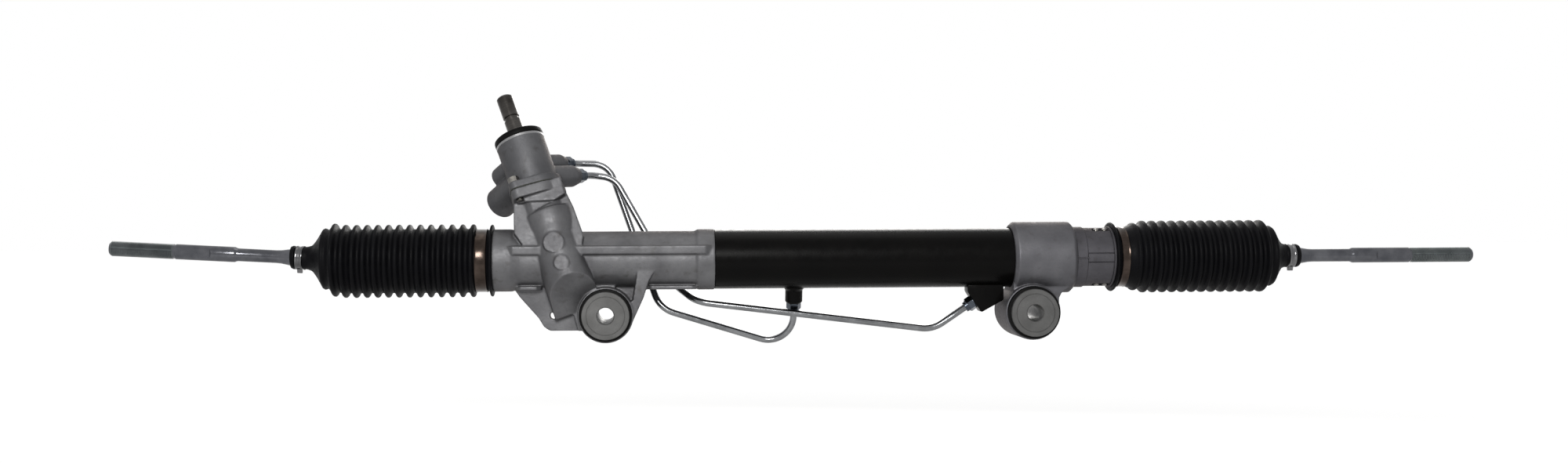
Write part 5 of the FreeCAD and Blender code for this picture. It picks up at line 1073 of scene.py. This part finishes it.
class Fasteners(Piece):
    """Flare nuts and flange bolts: chamfered hexagons."""

    @staticmethod
    def hexagon(name: str, line: Line, start: float, end: float, corner: float,
                chamfer: tuple[float, float]) -> Item:
        """A hexagon with chamfered ends.

        Args:
            name: Name of the new object.
            line: The line that it stands on.
            start: Near face, in mm along the line.
            end: Far face, in mm along the line.
            corner: Radius over the corners, in mm.
            chamfer: How much smaller the near and far faces are, in mm.

        Returns:
            The hexagon.
        """
        matrix = line.matrix().to_3x3()
        turns = [turn * math.pi / 3 for turn in range(6)]
        points = [line.at(start, matrix @ Vector((0, corner * math.cos(turn), corner * math.sin(turn))))
                  for turn in turns]
        body = Bench.prism(name, points, line.direction * (end - start))
        near, far = chamfer
        spindle = [(start, 0.0), (start, corner - near), (start + near * 0.55, corner + 0.02),
                   (end - far * 0.55, corner + 0.02), (end, corner - far), (end, 0.0)]
        return Bench.carve(body, Bench.lathe("chamfer", spindle, line, 72), "INTERSECT")

    def flare_nut(self, name: str, mouth: Vector, inward: Vector) -> Item:
        """A flare nut in a port, with its round skirt round the tube."""
        line = Line(mouth, -inward, Vector((0, 1, 0.1)))
        head = self.hexagon(name, line, 0.4, 6.0, 6.6, (0.7, 0.9))
        skirt = Bench.lathe("skirt", [(-2.5, 3.05), (-2.5, 5.6), (0.6, 5.6), (0.6, 4.4), (5.8, 4.4),
                                      (6.0, 5.3),
                                      (6.5, 5.3), (7.0, 4.8), (8.6, 4.8), (9.0, 4.4), (9.0, 3.05),
                                      (-2.5, 3.05)],
                            line, 48)
        Bench.carve(head, Bench.lathe("bore", [(-3, 0), (-3, 4.0), (7, 4.0), (7, 0)], line, 48))
        return Bench.join(name, head, skirt)

    def build(self) -> None:
        """Build nuts and bolts."""
        near = PINION_LINE.at(74.0, BOSS_DIRECTION * 46.0 + BOSS_CROSS * 7.0)
        far = PINION_LINE.at(92.0, BOSS_DIRECTION * 46.0 - BOSS_CROSS * 3.0)
        valve = Bench.join("valve_flare_nuts", self.flare_nut("near", near, -BOSS_DIRECTION),
                           self.flare_nut("far", far, -BOSS_DIRECTION))
        self.fit(Bench.smooth(valve, 30.0), self.finishes.nut, "zinc_fasteners", Body.HOUSING,
                 "valve_port_nuts")
        cylinder = Bench.join("cylinder_flare_nuts", self.flare_nut("a", PORT_A_MOUTH, -PORT_A_DOWN),
                              self.flare_nut("b", PORT_B_MOUTH, PORT_B_IN))
        self.fit(Bench.smooth(cylinder, 30.0), self.finishes.nut, "zinc_fasteners", Body.HOUSING,
                 "cylinder_port_nuts")
        heads = []
        for side in (-1, 1):
            line = Line(PINION_LINE.at(0.0, BOLT_DIRECTION * (27.5 * side)), PINION_AXIS, TO_PINION)
            head = self.hexagon("head", line, 69.5, 74.5, 5.2, (0.1, 0.7))
            Bench.carve(head, Bench.lathe("dimple",
                                          [(73.0, 0.0), (73.0, 2.0), (73.6, 3.1), (76.0, 3.1), (76.0, 0.0)],
                                          line, 32))
            shank = Bench.lathe("shank", [(51.5, 0.0), (51.5, 2.9), (69.9, 2.9), (69.9, 0.0)], line, 24)
            heads += [head, shank]
        bolts = Bench.join("flange_bolts_hexagon", *heads)
        self.fit(Bench.smooth(bolts, 30.0), self.finishes.bolt, "zinc_fasteners", Body.HOUSING,
                 "valve_housing_bolts")


class TransferTubes(Piece):
    """The two bent oil tubes between valve housing and cylinder."""

    def build(self) -> None:
        """Join up the two tubes' skins and shade them smooth."""
        for side in ("near_port", "far_port"):
            item = Bench.smooth(Bench.copy_node("transfer_tube_" + side, "transfer_tube_bent_" + side), 35.0)
            self.fit(item, self.finishes.zinc, "zinc_tube", Body.HOUSING, "transfer_tube_" + side)


class DustCover(Piece):
    """Rubber dust cover on top of the valve housing."""

    def build(self) -> None:
        """Turn the cover."""
        rim = [(0.0, 17.6), (0.0, 21.7), (0.5, 22.2), (1.2, 22.4), (4.1, 22.4), (4.9, 22.1), (5.4, 21.3),
               (5.6, 20.2)]
        dome = [(6.7, 17.6), (7.6, 13.6), (8.2, 10.8), (8.5, 9.5), (8.4, 8.7), (7.9, 8.25), (7.0, 8.2),
                (6.3, 9.4),
                (5.2, 14.5), (4.0, 17.2), (0.0, 17.6)]
        profile = [(VALVE_TOP + up, radius) for up, radius in rim + dome]
        item = Bench.smooth(Bench.lathe("dust_cover_moulded", profile, PINION_LINE, 128), 30.0)
        self.fit(item, self.finishes.cap_rubber, "seal_rubber", Body.HOUSING, "dust_cover")


def background_rays(tree: bpy.types.NodeTree) -> Socket:
    """One for the rays that see the background: straight from the camera, mirrored or through glass."""
    path = tree.nodes.new("ShaderNodeLightPath")
    seen = path.outputs["Is Camera Ray"]
    for kind in ("Is Glossy Ray", "Is Transmission Ray"):
        node = tree.nodes.new("ShaderNodeMath")
        node.operation = "MAXIMUM"
        tree.links.new(seen, node.inputs[0])
        tree.links.new(path.outputs[kind], node.inputs[1])
        seen = node.outputs[0]
    return seen


def world_light() -> None:
    """Plain grey surroundings; background rays see white."""
    world = bpy.data.worlds.new("studio")
    bpy.context.scene.world = world
    world.use_nodes = True
    tree = world.node_tree
    background = tree.nodes["Background"]
    strength = tree.nodes.new("ShaderNodeMapRange")
    tree.links.new(background_rays(tree), strength.inputs["Value"])
    strength.inputs["To Min"].default_value = 0.14
    strength.inputs["To Max"].default_value = 1.0
    tree.links.new(strength.outputs["Result"], background.inputs["Strength"])
    background.inputs["Color"].default_value = (1.0, 1.0, 1.0, 1.0)


class Studio:
    """Camera, floor and lamps."""

    focal_px: float = 2143.0
    centre_px: tuple[float, float] = (894.8, 262.0)
    yaw: float = math.radians(2.0)
    roll: float = math.radians(0.3)
    position: Vector = Vector((0.0332, -1.5, 0.0963))
    floor_centre: Vector = Vector((0.17, 0.0, -0.32))
    aim: Vector = Vector((0.17, 0.0, 0.05))

    def camera(self) -> None:
        """A level camera in front, at the photograph's distance and framing."""
        data = bpy.data.cameras.new("camera")
        data.sensor_width = 36.0
        data.lens = self.focal_px / IMAGE_SIZE[0] * data.sensor_width
        data.shift_x = (IMAGE_SIZE[0] / 2 - self.centre_px[0]) / IMAGE_SIZE[0]
        data.shift_y = -(IMAGE_SIZE[1] / 2 - self.centre_px[1]) / IMAGE_SIZE[0]
        data.clip_end = 50.0
        item = bpy.data.objects.new("camera", data)
        bpy.context.scene.collection.objects.link(item)
        look = Matrix.Rotation(-self.yaw, 4, "Z") @ Matrix.Rotation(math.pi / 2, 4,
                                                                    "X") @ Matrix.Rotation(-self.roll, 4, "Z")
        item.matrix_world = Matrix.Translation(self.position) @ look
        bpy.context.scene.camera = item

    def lamp(self, name: str, place: Vector, size: float, power: float, colour: Colour) -> None:
        """A square soft lamp aimed at the middle of the part."""
        data = bpy.data.lights.new(name, "AREA")
        data.size = size
        data.energy = power
        data.color = colour
        item = bpy.data.objects.new(name, data)
        bpy.context.scene.collection.objects.link(item)
        turn = (self.aim - place).to_track_quat("-Z", "Y")
        item.matrix_world = Matrix.Translation(place) @ turn.to_matrix().to_4x4()

    def floor(self) -> None:
        """A wide pale floor well under the part; background rays see it glow, more so farther out."""
        bpy.ops.object.select_all(action="DESELECT")
        bpy.ops.mesh.primitive_plane_add(size=30.0, location=self.floor_centre)
        item = Bench.settle(Bench.named("floor"))
        sheet = Sheet("pale floor")
        seen = background_rays(sheet.tree)
        away = sheet.add("ShaderNodeVectorMath")
        away.operation = "DISTANCE"
        sheet.tree.links.new(sheet.coordinates, away.inputs[0])
        away.inputs[1].default_value = self.floor_centre
        glow = sheet.tree.nodes.new("ShaderNodeMath")
        glow.operation = "MULTIPLY"
        sheet.tree.links.new(sheet.spread(away.outputs["Value"], 0.5, 0.84, 0.4, 2.6), glow.inputs[1])
        sheet.tree.links.new(seen, glow.inputs[0])
        sheet.set(Base_Color=(0.8, 0.8, 0.8, 1.0), Roughness=0.9, Emission_Color=(1.0, 1.0, 1.0, 1.0),
                  Emission_Strength=glow.outputs[0])
        item.data.materials.append(sheet.material)

    def build(self) -> None:
        """Build camera, floor, surroundings and lamps."""
        bpy.context.scene.view_settings.view_transform = "Standard"
        self.camera()
        self.floor()
        world_light()
        self.lamp("front lamp", Vector((-0.15, -1.6, 0.75)), 0.5, 26.0, (1.0, 0.99, 0.97))
        self.lamp("top lamp", Vector((0.1, 0.3, 1.5)), 0.9, 3.0, (1.0, 0.97, 0.93))
        self.lamp("back lamp", Vector((0.5, 1.5, 0.7)), 0.8, 12.0, (1.0, 0.98, 0.95))


def finish_inner_nodes(finishes: Finishes) -> None:
    """Give every CAD node that stays the finish of its material slot."""
    for entry in frame["record"]["subparts"]:
        item = frame["nodes"][entry["node"]]
        item.data.materials.clear()
        item.data.materials.append(finishes.for_slot(entry["material_slot"]))
        Bench.smooth(item, 35.0)


def main() -> None:
    """Build the rack piece by piece."""
    logging.basicConfig(level=logging.INFO, format="%(name)s %(message)s")
    finishes = Finishes()
    Studio().build()
    finish_inner_nodes(finishes)
    GearHousing(finishes).build()
    ValveHousing(finishes).build()
    CylinderGroup(finishes).build()
    MountingBush(finishes, "pinion_side", Vector()).build()
    MountingBush(finishes, "cylinder_side", Vector((BUSH_SPACING, 0, 0))).build()
    left = Line(Vector((LEFT_FACE, 0, RACK_LEVEL)), Vector((-1, 0, 0)), Z_AXIS)
    right = Line(Vector((END_RIM, 0, RACK_LEVEL)), X_AXIS, Z_AXIS)
    Bellows(finishes, "pinion_side", LEFT_FACE, left, LEFT_ROD_LINE, LEFT_BELLOWS, Body.SEAT_PINION,
            Body.ROD_PINION).build()
    Bellows(finishes, "cylinder_side", END_RIM, right, RIGHT_ROD_LINE, RIGHT_BELLOWS, Body.SEAT_CYLINDER,
            Body.ROD_CYLINDER).build()
    TieRod(finishes, "pinion_side", LEFT_ROD_LINE, Body.ROD_PINION).build()
    TieRod(finishes, "cylinder_side", RIGHT_ROD_LINE, Body.ROD_CYLINDER).build()
    Fasteners(finishes).build()
    TransferTubes(finishes).build()
    DustCover(finishes).build()
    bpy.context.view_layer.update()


if __name__ == "__main__":
    main()
